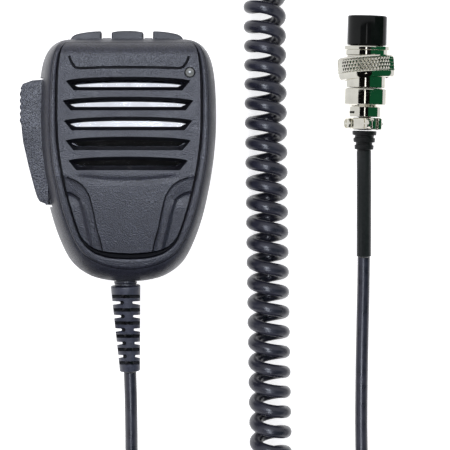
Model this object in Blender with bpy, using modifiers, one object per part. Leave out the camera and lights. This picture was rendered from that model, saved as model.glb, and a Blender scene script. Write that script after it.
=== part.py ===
"""Hand microphone: a fist microphone with its curly cord and screw-lock plug.

The microphone lies on its back. The origin is the centre of the hanger stud's face, +Z comes out of the
grille, +Y points to the top keys and +X to the right of the front face. Lengths below are in millimetres
and become metres in point() and scaled().
"""
import math

import bmesh
import bpy
from mathutils import Matrix, Vector

MM = 0.001
GAP = 0.3                      # play between pieces that touch
RING_STEPS = 20                # sides of a small turned piece
CLEAN = 0.00001                # merge distance in metres

# --- case -------------------------------------------------------------------------------------------
STUD_HEIGHT = 6.0              # the hanger stud stands this far behind the case
REAR_Z = STUD_HEIGHT           # back face of the case
SPLIT_Z = 21.0                 # joint between the two covers
FRONT_Z = 36.0                 # grille face
TOE_Z = 30.0                   # front face at the cable end
TOE_START_Y = -9.0             # the front face slopes down from here
TOE_END_Y = -46.0
WALL = 2.3
CASE_MID_Y = -3.3
CASE_HALF_X = 31.0
CASE_HALF_Y = 42.6
# half width and y, from the middle of the top edge down one side to the cable end
HALF_OUTLINE = [
    (0.0, 39.3), (12.0, 39.0), (20.5, 38.6), (25.4, 36.9), (28.6, 32.8), (30.3, 26.0), (31.0, 15.0),
    (30.8, 4.0), (29.4, -8.5), (26.6, -22.0), (23.2, -32.0), (19.2, -39.2), (13.4, -43.6), (6.8, -45.5),
    (0.0, -45.9)]
OUTLINE_STEPS = 2
OUTLINE_SPACING = 8.4 / OUTLINE_STEPS

# --- grille -----------------------------------------------------------------------------------------
SLOT_COUNT = 5
SLOT_PITCH = 6.92
SLOT_BOTTOM_Y = 20.5           # lower edge of the top slot
SLOT_RISE = 4.6                # lower edge to the crown of the arch
SLOT_TIP_RISE = 3.1            # lower edge to the pointed ends
SLOT_TIP_HALF = (21.5, 22.6, 22.2, 21.6, 20.6)
SLOT_END_SLANT = 2.7
SLOT_MID_X = 0.5
WINDOW_Z = (31.9, 32.9)
LED_XY = (21.9, 26.7)
LED_RADIUS = 1.85

# --- press-to-talk bar ------------------------------------------------------------------------------
PTT_Z = (13.0, 29.0)
PTT_FOOT_Z = (15.0, 25.0)
PTT_PIN_XY = (-24.6, -17.2)
PTT_PIN_RADIUS = 1.0
PTT_OUTLINE = [
    (-29.2, 24.4), (-33.0, 24.1), (-36.3, 22.9), (-37.4, 21.0), (-37.3, 9.9), (-36.2, 2.6), (-34.3, -5.8),
    (-31.8, -14.6), (-30.3, -19.3), (-27.3, -19.3), (-27.3, -13.0), (-27.9, -8.0), (-28.6, 2.0),
    (-29.0, 12.0)]
PTT_FOOT = [
    (-28.5, -13.5), (-25.5, -14.9), (-23.6, -15.3), (-22.7, -16.4), (-22.7, -18.0), (-23.6, -19.1),
    (-25.5, -19.2), (-28.5, -19.2)]
PTT_WINDOW = [
    (-45.0, 25.1), (-26.2, 25.1), (-25.6, 2.0), (-24.4, -11.0), (-22.0, -14.0), (-22.0, -20.0),
    (-45.0, -20.0)]
SWITCH_Y = 12.0                # where the bar meets the switch
SWITCH_Z = 22.5

# --- top keys ---------------------------------------------------------------------------------------
KEY_Z = (14.5, 27.5)
KEY_INNER_Y = 34.0
KEY_OUTLINES = {
    "left": [(-19.8, 38.8), (-15.5, 40.2), (-9.0, 41.3)],
    "centre": [(-5.4, 41.0), (0.1, 41.4), (5.6, 41.0)],
    "right": [(9.0, 41.3), (15.4, 40.2), (19.6, 38.8)]}
KEY_PLAY = 0.45
KEY_TRAVEL = 0.8
KEYPAD_Y = (28.6, 30.0)

# --- fixings and cable entry ------------------------------------------------------------------------
CASE_SCREWS = {"top_left": (-21.8, 31.9), "top_right": (21.8, 31.9),
               "low_left": (-14.0, -36.0), "low_right": (14.0, -36.0)}
SCREW_SEAT_Z = 13.2
FRONT_BOSS_DEPTH = 1.9         # the screw bosses end this far inside the outer faces
REAR_POST_DEPTH = 3.2
ENTRY_X = -0.7
ENTRY_Z = 19.0
BOOT_TOP = (-0.7, -47.4, 19.0)
BOOT_TIP = (0.8, -77.4, 15.2)
BOOT_TOP_RADIUS = 5.2
BOOT_TIP_RADIUS = 3.55
BOOT_RINGS = 6

# --- cord -------------------------------------------------------------------------------------------
LEAD_RADIUS = 2.2
CURL_RADIUS = 7.5
CURL_Z = 7.55
LEAD_STEP = 10.5               # spacing of the points along a lead
CURL_STEP = 16.0
MIC_LEAD_ROUTE = [
    (0.82, -77.8, 15.12), (1.1, -88.0, 13.2), (1.2, -99.0, 8.8), (1.4, -110.0, 4.2), (3.2, -121.5, 2.4),
    (9.8, -131.8, 2.3), (19.8, -137.6, 2.3), (31.2, -137.8, 2.3), (41.6, -132.4, 2.3),
    (48.4, -123.2, 2.3), (50.3, -113.8, 2.3)]
CURL_NEAR_ROUTE = [
    (50.3, -113.4), (50.3, -110.0), (49.6, -70.0), (49.0, -30.0), (48.5, 10.0), (48.0, 52.5),
    (48.0, 60.0), (48.0, 64.0)]
CURL_BEND_ROUTE = [
    (48.0, 64.4), (48.0, 68.0), (51.5, 81.5), (60.4, 94.0), (74.6, 102.2), (92.6, 103.2), (108.8, 96.2),
    (119.6, 83.5), (124.0, 70.0), (124.0, 66.4)]
CURL_FAR_ROUTE = [
    (124.0, 66.0), (124.0, 62.0), (124.3, 30.0), (124.0, -20.0), (124.2, -60.0), (124.0, -80.0),
    (124.0, -84.0)]
PLUG_LEAD_ROUTE = [
    (124.0, -84.4, 2.3), (124.0, -98.0, 2.3), (123.0, -111.5, 2.3), (118.0, -123.8, 2.3),
    (108.0, -131.2, 2.3), (96.0, -130.6, 2.3), (87.0, -122.8, 2.3), (82.9, -111.5, 2.3),
    (82.2, -100.0, 2.3), (82.3, -80.0, 2.3), (82.6, -62.0, 3.0), (82.85, -48.0, 4.8),
    (82.95, -37.5, 6.6)]
SHRINK_ROUTE = [(82.97, -37.1, 6.7), (82.95, -25.0, 8.6), (82.93, -12.0, 9.9), (82.88, -1.15, 10.2)]
SHRINK_RADIUS = 2.55

# --- plug -------------------------------------------------------------------------------------------
PLUG_CENTRE = (83.7, 28.9, 10.2)   # middle of the coupling nut, on the plug's axis
PLUG_LEAN = math.radians(1.55)     # the plug points this far to the right of +Y
NUT_TURN = math.radians(5.4)       # the loose nut sits askew on its sleeve: turned on the table
NUT_DIP = math.radians(2.6)        # and dipped at its front
CLAMP_TURN = math.radians(-50.0)   # the cable clamp's screws point up and to the left
NUT_RADIUS = 10.0
NUT_HALF = 3.9
CLAMP_HALF_X = 6.9
CLAMP_HALF_Y = 3.6
CLAMP_SCREWS = {"left": -4.9, "right": 4.9}
CONTACT_CIRCLE = 3.6
CONTACT_COUNT = 4

MATERIALS = {
    "case_plastic": ((0.055, 0.056, 0.064), 0.55, 0.0),
    "key_rubber": ((0.045, 0.046, 0.052), 0.7, 0.0),
    "window_plastic": ((0.02, 0.02, 0.022), 0.1, 0.0),
    "lens_plastic": ((0.75, 0.76, 0.78), 0.15, 0.0),
    "board_resin": ((0.03, 0.16, 0.07), 0.5, 0.0),
    "capsule_metal": ((0.6, 0.6, 0.6), 0.35, 1.0),
    "steel": ((0.5, 0.5, 0.5), 0.35, 1.0),
    "nickel": ((0.62, 0.6, 0.56), 0.25, 1.0),
    "brass": ((0.7, 0.5, 0.2), 0.3, 1.0),
    "insulator": ((0.012, 0.013, 0.014), 0.3, 0.0),
    "cord_jacket": ((0.05, 0.052, 0.062), 0.3, 0.0),
    "sleeve_plastic": ((0.03, 0.03, 0.034), 0.45, 0.0),
    "wire_red": ((0.5, 0.03, 0.02), 0.4, 0.0),
    "wire_white": ((0.7, 0.7, 0.68), 0.4, 0.0),
    "wire_yellow": ((0.7, 0.5, 0.05), 0.4, 0.0),
    "wire_black": ((0.02, 0.02, 0.02), 0.4, 0.0)}


# --- scene and small helpers --------------------------------------------------------------------------
def clear_scene():
    for thing in list(bpy.data.objects):
        bpy.data.objects.remove(thing, do_unlink=True)


def make_collection(name):
    group = bpy.data.collections.new(name)
    bpy.context.scene.collection.children.link(group)
    return group


def point(x, y, z=0.0):
    return Vector((x, y, z)) * MM


def make_material(name):
    colour, roughness, metallic = MATERIALS[name]
    material = bpy.data.materials.new(name)
    material.use_nodes = True
    shader = material.node_tree.nodes["Principled BSDF"]
    shader.inputs["Base Color"].default_value = (*colour, 1.0)
    shader.inputs["Roughness"].default_value = roughness
    shader.inputs["Metallic"].default_value = metallic
    return material


def place(thing, material=None):
    """Put a piece in the object's collection, or a cutter among the cutters."""
    if material is None:
        CUTTERS.objects.link(thing)
        thing.hide_render = True
        thing.display_type = "WIRE"
        return thing
    PARTS.objects.link(thing)
    thing.data.materials.append(MADE_MATERIALS[material])
    return thing


def from_bmesh(name, work, material=None, smooth=False):
    mesh = bpy.data.meshes.new(name)
    bmesh.ops.recalc_face_normals(work, faces=work.faces)
    work.to_mesh(mesh)
    work.free()
    if smooth:
        mesh.shade_smooth()
        mesh.set_sharp_from_angle(angle=math.radians(35))
    return place(bpy.data.objects.new(name, mesh), material)


def box(name, low, high, material=None, bevel=0.0):
    work = bmesh.new()
    bmesh.ops.create_cube(work, size=1.0)
    size = [b - a for a, b in zip(low, high)]
    middle = [(a + b) / 2 for a, b in zip(low, high)]
    bmesh.ops.scale(work, vec=Vector(size) * MM, verts=work.verts)
    bmesh.ops.translate(work, vec=point(*middle), verts=work.verts)
    thing = from_bmesh(name, work, material)
    if bevel:
        add_bevel(thing, bevel)
    return thing


def add_bevel(thing, width, segments=2, angle=40):
    bevel = thing.modifiers.new("rounded edges", "BEVEL")
    bevel.width = width * MM
    bevel.segments = segments
    bevel.limit_method = "ANGLE"
    bevel.angle_limit = math.radians(angle)


def rod(name, start, end, radius, material=None, sides=RING_STEPS, end_radius=None):
    """A straight round bar, or a cone, between two points."""
    start = point(*start)
    end = point(*end)
    work = bmesh.new()
    far = radius if end_radius is None else end_radius
    bmesh.ops.create_cone(work, cap_ends=True, segments=sides, radius1=radius * MM, radius2=far * MM,
                          depth=(end - start).length)
    turn = Vector((0, 0, 1)).rotation_difference(end - start).to_matrix().to_4x4()
    bmesh.ops.transform(work, matrix=Matrix.Translation((start + end) / 2) @ turn, verts=work.verts)
    return from_bmesh(name, work, material, smooth=True)


def plate(name, outline, z_range, material=None, bevel=0.0):
    """A flat outline of points in x and y, made solid between two heights."""
    curve = bpy.data.curves.new(name, "CURVE")
    curve.dimensions = "2D"
    curve.fill_mode = "BOTH"
    curve.extrude = (z_range[1] - z_range[0]) / 2 * MM
    spline = curve.splines.new("POLY")
    spline.points.add(len(outline) - 1)
    for knot, (x, y) in zip(spline.points, outline):
        knot.co = (x * MM, y * MM, 0.0, 1.0)
    spline.use_cyclic_u = True
    flat = bpy.data.objects.new(name + "_outline", curve)
    PARTS.objects.link(flat)
    flat.location.z = (z_range[0] + z_range[1]) / 2 * MM
    thing = place(mesh_from(name, flat), material)
    if bevel:
        add_bevel(thing, bevel)
    return thing


def mesh_from(name, curve_object):
    """Turn a curve into a welded mesh object at the same place."""
    bpy.context.view_layer.update()
    graph = bpy.context.evaluated_depsgraph_get()
    mesh = bpy.data.meshes.new_from_object(curve_object.evaluated_get(graph))
    mesh.name = name
    mesh.materials.clear()
    work = bmesh.new()
    work.from_mesh(mesh)
    bmesh.ops.remove_doubles(work, verts=work.verts, dist=CLEAN)
    bmesh.ops.recalc_face_normals(work, faces=work.faces)
    work.to_mesh(mesh)
    work.free()
    thing = bpy.data.objects.new(name, mesh)
    thing.matrix_world = curve_object.matrix_world.copy()
    bpy.data.objects.remove(curve_object, do_unlink=True)
    return thing


def turned(name, profile, material=None, matrix=None, sides=RING_STEPS, closed=False):
    """Turn a profile of (radius, height) about Z. It runs down its outer side."""
    mesh = bpy.data.meshes.new(name)
    count = len(profile)
    edges = [(i, i + 1) for i in range(count - 1)]
    if closed:
        edges.append((count - 1, 0))
    mesh.from_pydata([(r * MM, 0.0, z * MM) for r, z in profile], edges, [])
    thing = place(bpy.data.objects.new(name, mesh), material)
    screw = thing.modifiers.new("turned", "SCREW")
    screw.axis = "Z"
    screw.angle = 2 * math.pi
    screw.steps = sides
    screw.render_steps = sides
    screw.use_merge_vertices = True
    screw.merge_threshold = CLEAN
    screw.use_smooth_shade = False
    if matrix is not None:
        thing.matrix_world = matrix
    return thing


def smooth_route(route, step):
    """Points about one step apart on a smooth curve through the route's points, all in millimetres."""
    knots = [Vector(p) for p in route]
    knots = [knots[0] * 2 - knots[1]] + knots + [knots[-1] * 2 - knots[-2]]
    points = []
    for a, b, c, d in zip(knots, knots[1:], knots[2:], knots[3:]):
        pieces = max(1, round((c - b).length / step))
        for i in range(pieces):
            t = i / pieces
            points.append(0.5 * ((2 * b) + (c - a) * t + (2 * a - 5 * b + 4 * c - d) * t * t
                                 + (3 * b - a - 3 * c + d) * t ** 3))
    points.append(knots[-2])
    return points


def tube(name, points, radius, material, resolution=2):
    """A round wire or hose through points in millimetres, with closed ends."""
    curve = bpy.data.curves.new(name, "CURVE")
    curve.dimensions = "3D"
    curve.bevel_depth = radius * MM
    curve.bevel_resolution = resolution
    curve.use_fill_caps = True
    spline = curve.splines.new("POLY")
    spline.points.add(len(points) - 1)
    for knot, place_mm in zip(spline.points, points):
        knot.co = (*(Vector(place_mm) * MM), 1.0)
    return place(bpy.data.objects.new(name, curve), material)


def boolean(thing, tool, operation="DIFFERENCE"):
    change = thing.modifiers.new(operation.lower(), "BOOLEAN")
    change.operation = operation
    change.solver = "EXACT"
    change.object = tool


# --- case ---------------------------------------------------------------------------------------------
def half_outline():
    points = smooth_route([(x, y, 0.0) for x, y in HALF_OUTLINE], OUTLINE_SPACING)
    points[0].x = 0.0
    points[-1].x = 0.0
    return points


def inset_ring(inset):
    """The case outline drawn in by a distance: from the top down the right side and up the left."""
    wide = 1 - inset / CASE_HALF_X
    tall = 1 - inset / CASE_HALF_Y
    right = [(p.x * wide, CASE_MID_Y + (p.y - CASE_MID_Y) * tall) for p in half_outline()]
    left = [(-x, y) for x, y in reversed(right[1:-1])]
    return right + left


def front_height(y):
    """Height of the front face, which is flat over the grille and slopes down to the cable end."""
    t = min(1.0, max(0.0, (TOE_START_Y - y) / (TOE_START_Y - TOE_END_Y)))
    return FRONT_Z - (FRONT_Z - TOE_Z) * (0.45 * t + 0.55 * t * t)


def case_shell(name, outer, inner, height, material):
    """A cup made of rings: each ring is an inset and a share of the way from the joint to the face."""
    work = bmesh.new()
    rings = []
    for inset, share, drop in outer + list(reversed(inner)):
        ring = []
        for x, y in inset_ring(inset):
            z = height(y, share) + drop
            ring.append(work.verts.new(point(x, y, z)))
        rings.append(ring)
    close_ladder(work, rings, len(outer) - 1)
    return from_bmesh(name, work, material, smooth=True)


def close_ladder(work, rings, last_outer):
    """Join neighbouring rings, and close the two face rings with rungs from side to side."""
    count = len(rings[0])
    half = count // 2
    order = list(range(len(rings))) + [0]
    for a, b in zip(order, order[1:]):
        if a == last_outer:
            continue
        for i in range(count):
            j = (i + 1) % count
            work.faces.new((rings[a][i], rings[a][j], rings[b][j], rings[b][i]))
    for ring in (rings[last_outer], rings[last_outer + 1]):
        work.faces.new((ring[0], ring[1], ring[count - 1]))
        for i in range(1, half - 1):
            work.faces.new((ring[i], ring[i + 1], ring[count - i - 1], ring[count - i]))
        work.faces.new((ring[half - 1], ring[half], ring[half + 1]))


def make_front_cover():
    def height(y, share):
        return SPLIT_Z + (front_height(y) - SPLIT_Z) * share
    outer = [(0.0, 0.0, 0.0), (0.4, 0.35, 0.0), (1.3, 0.64, 0.0), (3.0, 0.86, 0.0), (5.2, 0.97, 0.0),
             (7.6, 1.0, 0.0)]
    inner = [(2.2, 0.0, 0.0), (3.2, 0.6, 0.0), (6.2, 1.0, -WALL)]
    cover = case_shell("front_cover", outer, inner, height, "case_plastic")
    for name, (x, y) in CASE_SCREWS.items():
        top = front_height(y) - FRONT_BOSS_DEPTH
        boss = rod("front_boss_" + name, (x, y, SPLIT_Z + GAP), (x, y, top), 2.8)
        pilot = rod("front_pilot_" + name, (x, y, SPLIT_Z - 1), (x, y, top - 2.0), 1.45, sides=12)
        boolean(cover, boss, "UNION")
        boolean(cover, pilot)
    add_pivot_boss(cover, "front", (29.4, 32.0), (29.0, 30.9))
    for index in range(SLOT_COUNT):
        boolean(cover, slot_cutter(index))
    led_hole = rod("led_hole", (*LED_XY, 30.0), (*LED_XY, 38.0), LED_RADIUS + GAP)
    boolean(cover, led_hole)
    return cover


def make_rear_cover():
    def height(y, share):
        return SPLIT_Z - GAP + (REAR_Z - SPLIT_Z + GAP) * share
    outer = [(0.0, 0.0, 0.0), (0.5, 0.45, 0.0), (1.8, 0.75, 0.0), (4.2, 0.93, 0.0), (8.0, 1.0, 0.0)]
    inner = [(2.2, 0.0, 0.0), (3.6, 0.65, 0.0), (7.5, 1.0, WALL)]
    cover = case_shell("rear_cover", outer, inner, height, "case_plastic")
    for name, (x, y) in CASE_SCREWS.items():
        post = rod("rear_post_" + name, (x, y, REAR_Z + REAR_POST_DEPTH), (x, y, SPLIT_Z - GAP), 3.4)
        seat = rod("rear_seat_" + name, (x, y, REAR_Z - 2), (x, y, SCREW_SEAT_Z), 2.7, sides=16)
        hole = rod("rear_hole_" + name, (x, y, REAR_Z), (x, y, SPLIT_Z + 2), 1.45, sides=12)
        boolean(cover, post, "UNION")
        boolean(cover, seat)
        boolean(cover, hole)
    add_pivot_boss(cover, "rear", (8.4, 12.6), (9.5, 14.0))
    stud_hole = rod("stud_hole", (0, 0, 4), (0, 0, 10), 2.3, sides=16)
    boolean(cover, stud_hole)
    return cover


def add_pivot_boss(cover, side, solid, bore):
    """A round boss with a blind bore for one end of the press-to-talk pin."""
    x, y = PTT_PIN_XY
    boss = rod("pivot_boss_" + side, (x, y, solid[0]), (x, y, solid[1]), 2.2, sides=16)
    hole = rod("pivot_bore_" + side, (x, y, bore[0]), (x, y, bore[1]), PTT_PIN_RADIUS + 0.2, sides=16)
    boolean(cover, boss, "UNION")
    boolean(cover, hole)


def cut_shared_openings(covers):
    """The openings that both covers share: press-to-talk bar, top keys and cable entry."""
    window = plate("ptt_window", PTT_WINDOW, (PTT_Z[0] - 0.4, PTT_Z[1] + 0.4))
    tools = [window]
    for name, outline in KEY_OUTLINES.items():
        low = (outline[0][0] - KEY_PLAY, KEY_INNER_Y - 1.5, KEY_Z[0] - KEY_PLAY)
        high = (outline[-1][0] + KEY_PLAY, 45.0, KEY_Z[1] + KEY_PLAY)
        tools.append(box("key_window_" + name, low, high))
    tools.append(rod("cable_entry", (ENTRY_X, -40.0, ENTRY_Z), (ENTRY_X, -50.0, ENTRY_Z), 3.6, sides=24))
    for cover in covers:
        for tool in tools:
            boolean(cover, tool)


def slot_cutter(index):
    """One sound slot: a flat lower edge, slanted ends and an arched upper edge."""
    bottom = SLOT_BOTTOM_Y - index * SLOT_PITCH
    half = SLOT_TIP_HALF[index]
    low = half - SLOT_END_SLANT
    tip = bottom + SLOT_TIP_RISE
    arch = [(SLOT_MID_X + half * math.cos(a), tip + (SLOT_RISE - SLOT_TIP_RISE) * math.sin(a))
            for a in [math.pi * i / 8 for i in range(9)]]
    outline = [(SLOT_MID_X - low, bottom), (SLOT_MID_X + low, bottom)] + arch
    return plate("slot_%d" % (index + 1), outline, (31.5, 38.0))


def make_hanger_stud():
    profile = [(0.0, 8.9), (2.0, 8.9), (2.0, 5.7), (5.5, 5.7), (5.5, 5.0), (3.8, 4.6), (3.8, 2.3),
               (6.0, 1.9), (6.5, 1.4), (6.5, 0.5), (6.0, 0.0), (0.0, 0.0)]
    turned("hanger_stud", profile, "steel", sides=28)


def make_stud_nut():
    work = bmesh.new()
    bmesh.ops.create_cone(work, cap_ends=True, segments=6, radius1=3.9 * MM, radius2=3.9 * MM, depth=2.4 * MM)
    bmesh.ops.translate(work, vec=point(0, 0, 9.9), verts=work.verts)
    nut = from_bmesh("stud_nut", work, "steel")
    boolean(nut, rod("stud_nut_bore", (0, 0, 8), (0, 0, 13), 2.3, sides=16))


def make_case_screws():
    for name, (x, y) in CASE_SCREWS.items():
        top = front_height(y) - WALL - 3.0
        seat = SCREW_SEAT_Z - GAP
        profile = [(0.0, top), (0.6, top), (1.2, top - 1.2), (1.2, seat), (2.35, seat),
                   (2.35, seat - 1.3), (1.6, seat - 1.9), (0.0, seat - 1.9)]
        turned("case_screw_" + name, profile, "steel", Matrix.Translation(point(x, y)), sides=12)


# --- inside -------------------------------------------------------------------------------------------
def make_boards():
    edge = [(x, y) for x, y in inset_ring(6.2) if -31.0 < y < 26.5]
    plate("circuit_board", edge, (17.6, 19.2), "board_resin")
    box("keypad_board", (-17.8, KEYPAD_Y[0], 13.0), (17.8, KEYPAD_Y[1], 29.0), "board_resin")
    for name, outline in KEY_OUTLINES.items():
        x = (outline[0][0] + outline[-1][0]) / 2
        base = KEYPAD_Y[1] + GAP
        body = box("key_switch_" + name, (x - 3, base, 18.0), (x + 3, base + 1.9, 24.0), "sleeve_plastic")
        nub_end = KEY_INNER_Y - KEY_TRAVEL - GAP
        boolean(body, rod("switch_nub_" + name, (x, base + 1, 21.0), (x, nub_end, 21.0), 1.6, sides=16),
                "UNION")


def make_capsule():
    middle = (SLOT_MID_X, 5.5)
    cup = [(0.0, 23.6), (5.2, 23.6), (5.2, 31.4), (7.0, 31.4), (7.0, 22.4), (0.0, 22.4)]
    turned("capsule_boot", cup, "key_rubber", Matrix.Translation(point(*middle)), sides=24)
    can = [(0.0, 31.2), (4.3, 31.2), (4.85, 30.8), (4.85, 23.9), (0.0, 23.9)]
    turned("mic_capsule", can, "capsule_metal", Matrix.Translation(point(*middle)), sides=24)


def make_grille_window():
    outline = [(-22.6, -9.0), (22.6, -9.0), (23.4, 24.2), (19.0, 24.3), (17.4, 26.6), (-17.4, 26.6),
               (-19.0, 24.3), (-23.4, 24.2)]
    plate("grille_window", outline, WINDOW_Z, "window_plastic")


def make_led():
    x, y = LED_XY
    dome = [(0.0, 36.7), (0.9, 36.55), (1.55, 36.1), (1.85, 35.5), (1.85, 32.2), (0.0, 32.2)]
    turned("led_lens", dome, "lens_plastic", Matrix.Translation(point(x, y)), sides=16)
    chip = [(0.0, 31.6), (1.0, 31.3), (1.5, 30.4), (1.5, 27.6), (0.0, 27.6)]
    turned("status_led", chip, "lens_plastic", Matrix.Translation(point(x, y)), sides=16)


def make_weight():
    box("weight_plate", (-14.0, -30.0, 8.7), (14.0, -7.0, 11.7), "steel", bevel=0.5)


def make_cable_clamp():
    box("cable_clamp", (-7.4, -37.5, 21.6), (6.6, -33.5, 23.2), "steel", bevel=0.3)
    for name, x in (("left", -5.6), ("right", 4.8)):
        head = [(0.0, 24.9), (1.1, 24.9), (1.7, 24.3), (1.7, 23.5), (0.9, 23.5), (0.9, 12.5), (0.0, 12.5)]
        turned("clamp_screw_" + name, head, "steel", Matrix.Translation(point(x, -35.5)), sides=12)
        hole = rod("clamp_hole_" + name, (x, -35.5, 20), (x, -35.5, 25), 1.2, sides=12)
        boolean(bpy.data.objects["cable_clamp"], hole)


def make_wires():
    colours = ("red", "white", "yellow", "black")
    for index, colour in enumerate(colours):
        x = ENTRY_X - 1.5 + index
        landing = -9.0 + index * 6.0
        route = [(x, -32.4, ENTRY_Z + 0.3), (x * 1.4, -30.0, 20.6), (landing * 0.6, -26.0, 21.6),
                 (landing, -22.5, 20.9), (landing, -21.0, 19.9)]
        tube("wire_" + colour, smooth_route(route, 2.2), 0.42, "wire_" + colour)


# --- moving pieces of the microphone ---------------------------------------------------------------------
def make_ptt():
    bar = plate("ptt_bar", PTT_OUTLINE, PTT_Z, "case_plastic")
    boolean(bar, plate("ptt_foot", PTT_FOOT, PTT_FOOT_Z), "UNION")
    x, y = PTT_PIN_XY
    boolean(bar, rod("ptt_bore", (x, y, 12), (x, y, 30), PTT_PIN_RADIUS + 0.12, sides=16))
    rod("ptt_pivot_pin", (x, y, 9.9), (x, y, 30.5), PTT_PIN_RADIUS, "steel", sides=16)


def make_ptt_spring():
    """Torsion spring round the pivot pin, above the foot of the bar."""
    x, y = PTT_PIN_XY
    radius = 1.7
    turns = 3
    per_turn = 10
    points = [(x + radius, y + 5.6, 25.8), (x + radius, y + 1.5, 25.8)]
    for i in range(turns * per_turn + per_turn // 2 + 1):
        angle = 2 * math.pi * i / per_turn
        height = 25.8 + 2.4 * i / (turns * per_turn + per_turn // 2)
        points.append((x + radius * math.cos(angle), y - radius * math.sin(angle), height))
    points.append((x - radius, y + 4.2, 28.2))
    tube("ptt_return_spring", points, 0.3, "steel")


def make_ptt_switch():
    body = box("ptt_switch_body", (-25.4, SWITCH_Y - 4, 19.5), (-18.6, SWITCH_Y + 4, 25.5),
               "sleeve_plastic")
    bore = rod("ptt_switch_bore", (-27, SWITCH_Y, SWITCH_Z), (-20.0, SWITCH_Y, SWITCH_Z), 1.25, sides=16)
    boolean(body, bore)
    rod("ptt_switch_plunger", (-28.65, SWITCH_Y, SWITCH_Z), (-22.4, SWITCH_Y, SWITCH_Z), 1.0,
        "window_plastic", sides=16)


def make_keys():
    for name, top in KEY_OUTLINES.items():
        outline = [(top[0][0], KEY_INNER_Y)] + top + [(top[-1][0], KEY_INNER_Y)]
        plate("key_" + name, outline, KEY_Z, "key_rubber", bevel=0.5)


# --- cable entry and cord --------------------------------------------------------------------------------
def make_cable_entry():
    start = (ENTRY_X, -41.3, ENTRY_Z)
    axis = Matrix.Translation(point(*start)) @ Matrix.Rotation(math.pi / 2, 4, "X")
    profile = [(0.0, 5.35), (3.9, 5.35), (3.9, 4.75), (3.3, 4.75), (3.3, 1.1), (4.6, 1.1), (4.6, 0.0),
               (0.0, 0.0)]
    turned("gland_collar", profile, "case_plastic", axis, sides=24)
    rod("cord_inner_jacket", (ENTRY_X, -41.0, ENTRY_Z), (ENTRY_X, -32.8, ENTRY_Z), LEAD_RADIUS,
        "cord_jacket", sides=16)


def make_strain_relief():
    """The tapered boot: a soft core with a stack of stiffening rings."""
    top = Vector(BOOT_TOP)
    tip = Vector(BOOT_TIP)
    length = (tip - top).length
    turn = Vector((0, 0, 1)).rotation_difference(top - tip).to_matrix().to_4x4()
    matrix = Matrix.Translation(point(*tip)) @ turn
    pitch = length / (BOOT_RINGS + 0.45)
    profile = [(0.0, length)]
    for ring in range(BOOT_RINGS):
        high = length - ring * pitch
        share = ring / BOOT_RINGS
        radius = BOOT_TOP_RADIUS + (BOOT_TIP_RADIUS - BOOT_TOP_RADIUS) * share
        profile += [(radius, high), (radius - 0.12, high - pitch * 0.72),
                    (radius - 1.1, high - pitch * 0.74), (radius - 1.2, high - pitch * 0.98)]
    profile += [(BOOT_TIP_RADIUS, pitch * 0.45), (BOOT_TIP_RADIUS - 0.3, 0.0), (0.0, 0.0)]
    turned("strain_relief_boot", profile, "cord_jacket", matrix, sides=20)


def flat_route(route):
    return [(x, y, CURL_Z) for x, y in route]


def make_cord():
    tube("cord_mic_lead", smooth_route(MIC_LEAD_ROUTE, LEAD_STEP), LEAD_RADIUS, "cord_jacket")
    tube("cord_curl_near", smooth_route(flat_route(CURL_NEAR_ROUTE), CURL_STEP * 2), CURL_RADIUS,
         "cord_jacket", resolution=4)
    tube("cord_curl_bend", smooth_route(flat_route(CURL_BEND_ROUTE), CURL_STEP), CURL_RADIUS,
         "cord_jacket", resolution=4)
    tube("cord_curl_far", smooth_route(flat_route(CURL_FAR_ROUTE), CURL_STEP * 2), CURL_RADIUS,
         "cord_jacket", resolution=4)
    tube("cord_plug_lead", smooth_route(PLUG_LEAD_ROUTE, LEAD_STEP), LEAD_RADIUS, "cord_jacket")
    tube("heat_shrink", smooth_route(SHRINK_ROUTE, 6.0), SHRINK_RADIUS, "sleeve_plastic")


# --- plug ---------------------------------------------------------------------------------------------
def plug_matrix(turn=0.0, dip=0.0):
    """Frame with its Z along the plug's axis, towards the mating face, and its X across the table."""
    across = Matrix.Rotation(turn - PLUG_LEAN, 4, "Z")
    along = Matrix.Rotation(-math.pi / 2 - dip, 4, "X")
    return Matrix.Translation(point(*PLUG_CENTRE)) @ across @ along


def clamp_matrix():
    return plug_matrix() @ Matrix.Rotation(CLAMP_TURN, 4, "Z")


def plug_rod(name, x, y, low, high, radius, material=None, sides=12):
    """A bar along the plug's axis, at x and y in the plug's own frame."""
    bar = rod(name, (x, y, low), (x, y, high), radius, material, sides)
    bar.matrix_world = plug_matrix()
    return bar


def make_insulator():
    profile = [(0.0, 18.4), (6.5, 18.4), (6.95, 17.9), (6.95, 7.9), (5.5, 7.9), (5.5, -1.5), (0.0, -1.5)]
    block = turned("plug_insulator", profile, "insulator", plug_matrix(), sides=28)
    for index in range(CONTACT_COUNT):
        angle = math.pi * (0.25 + index / 2)
        x = CONTACT_CIRCLE * math.cos(angle)
        y = CONTACT_CIRCLE * math.sin(angle)
        boolean(block, plug_rod("contact_bore_%d" % (index + 1), x, y, -3, 20, 1.3))
        plug_rod("plug_contact_%d" % (index + 1), x, y, -5.5, 17.3, 1.05, "brass")


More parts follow.
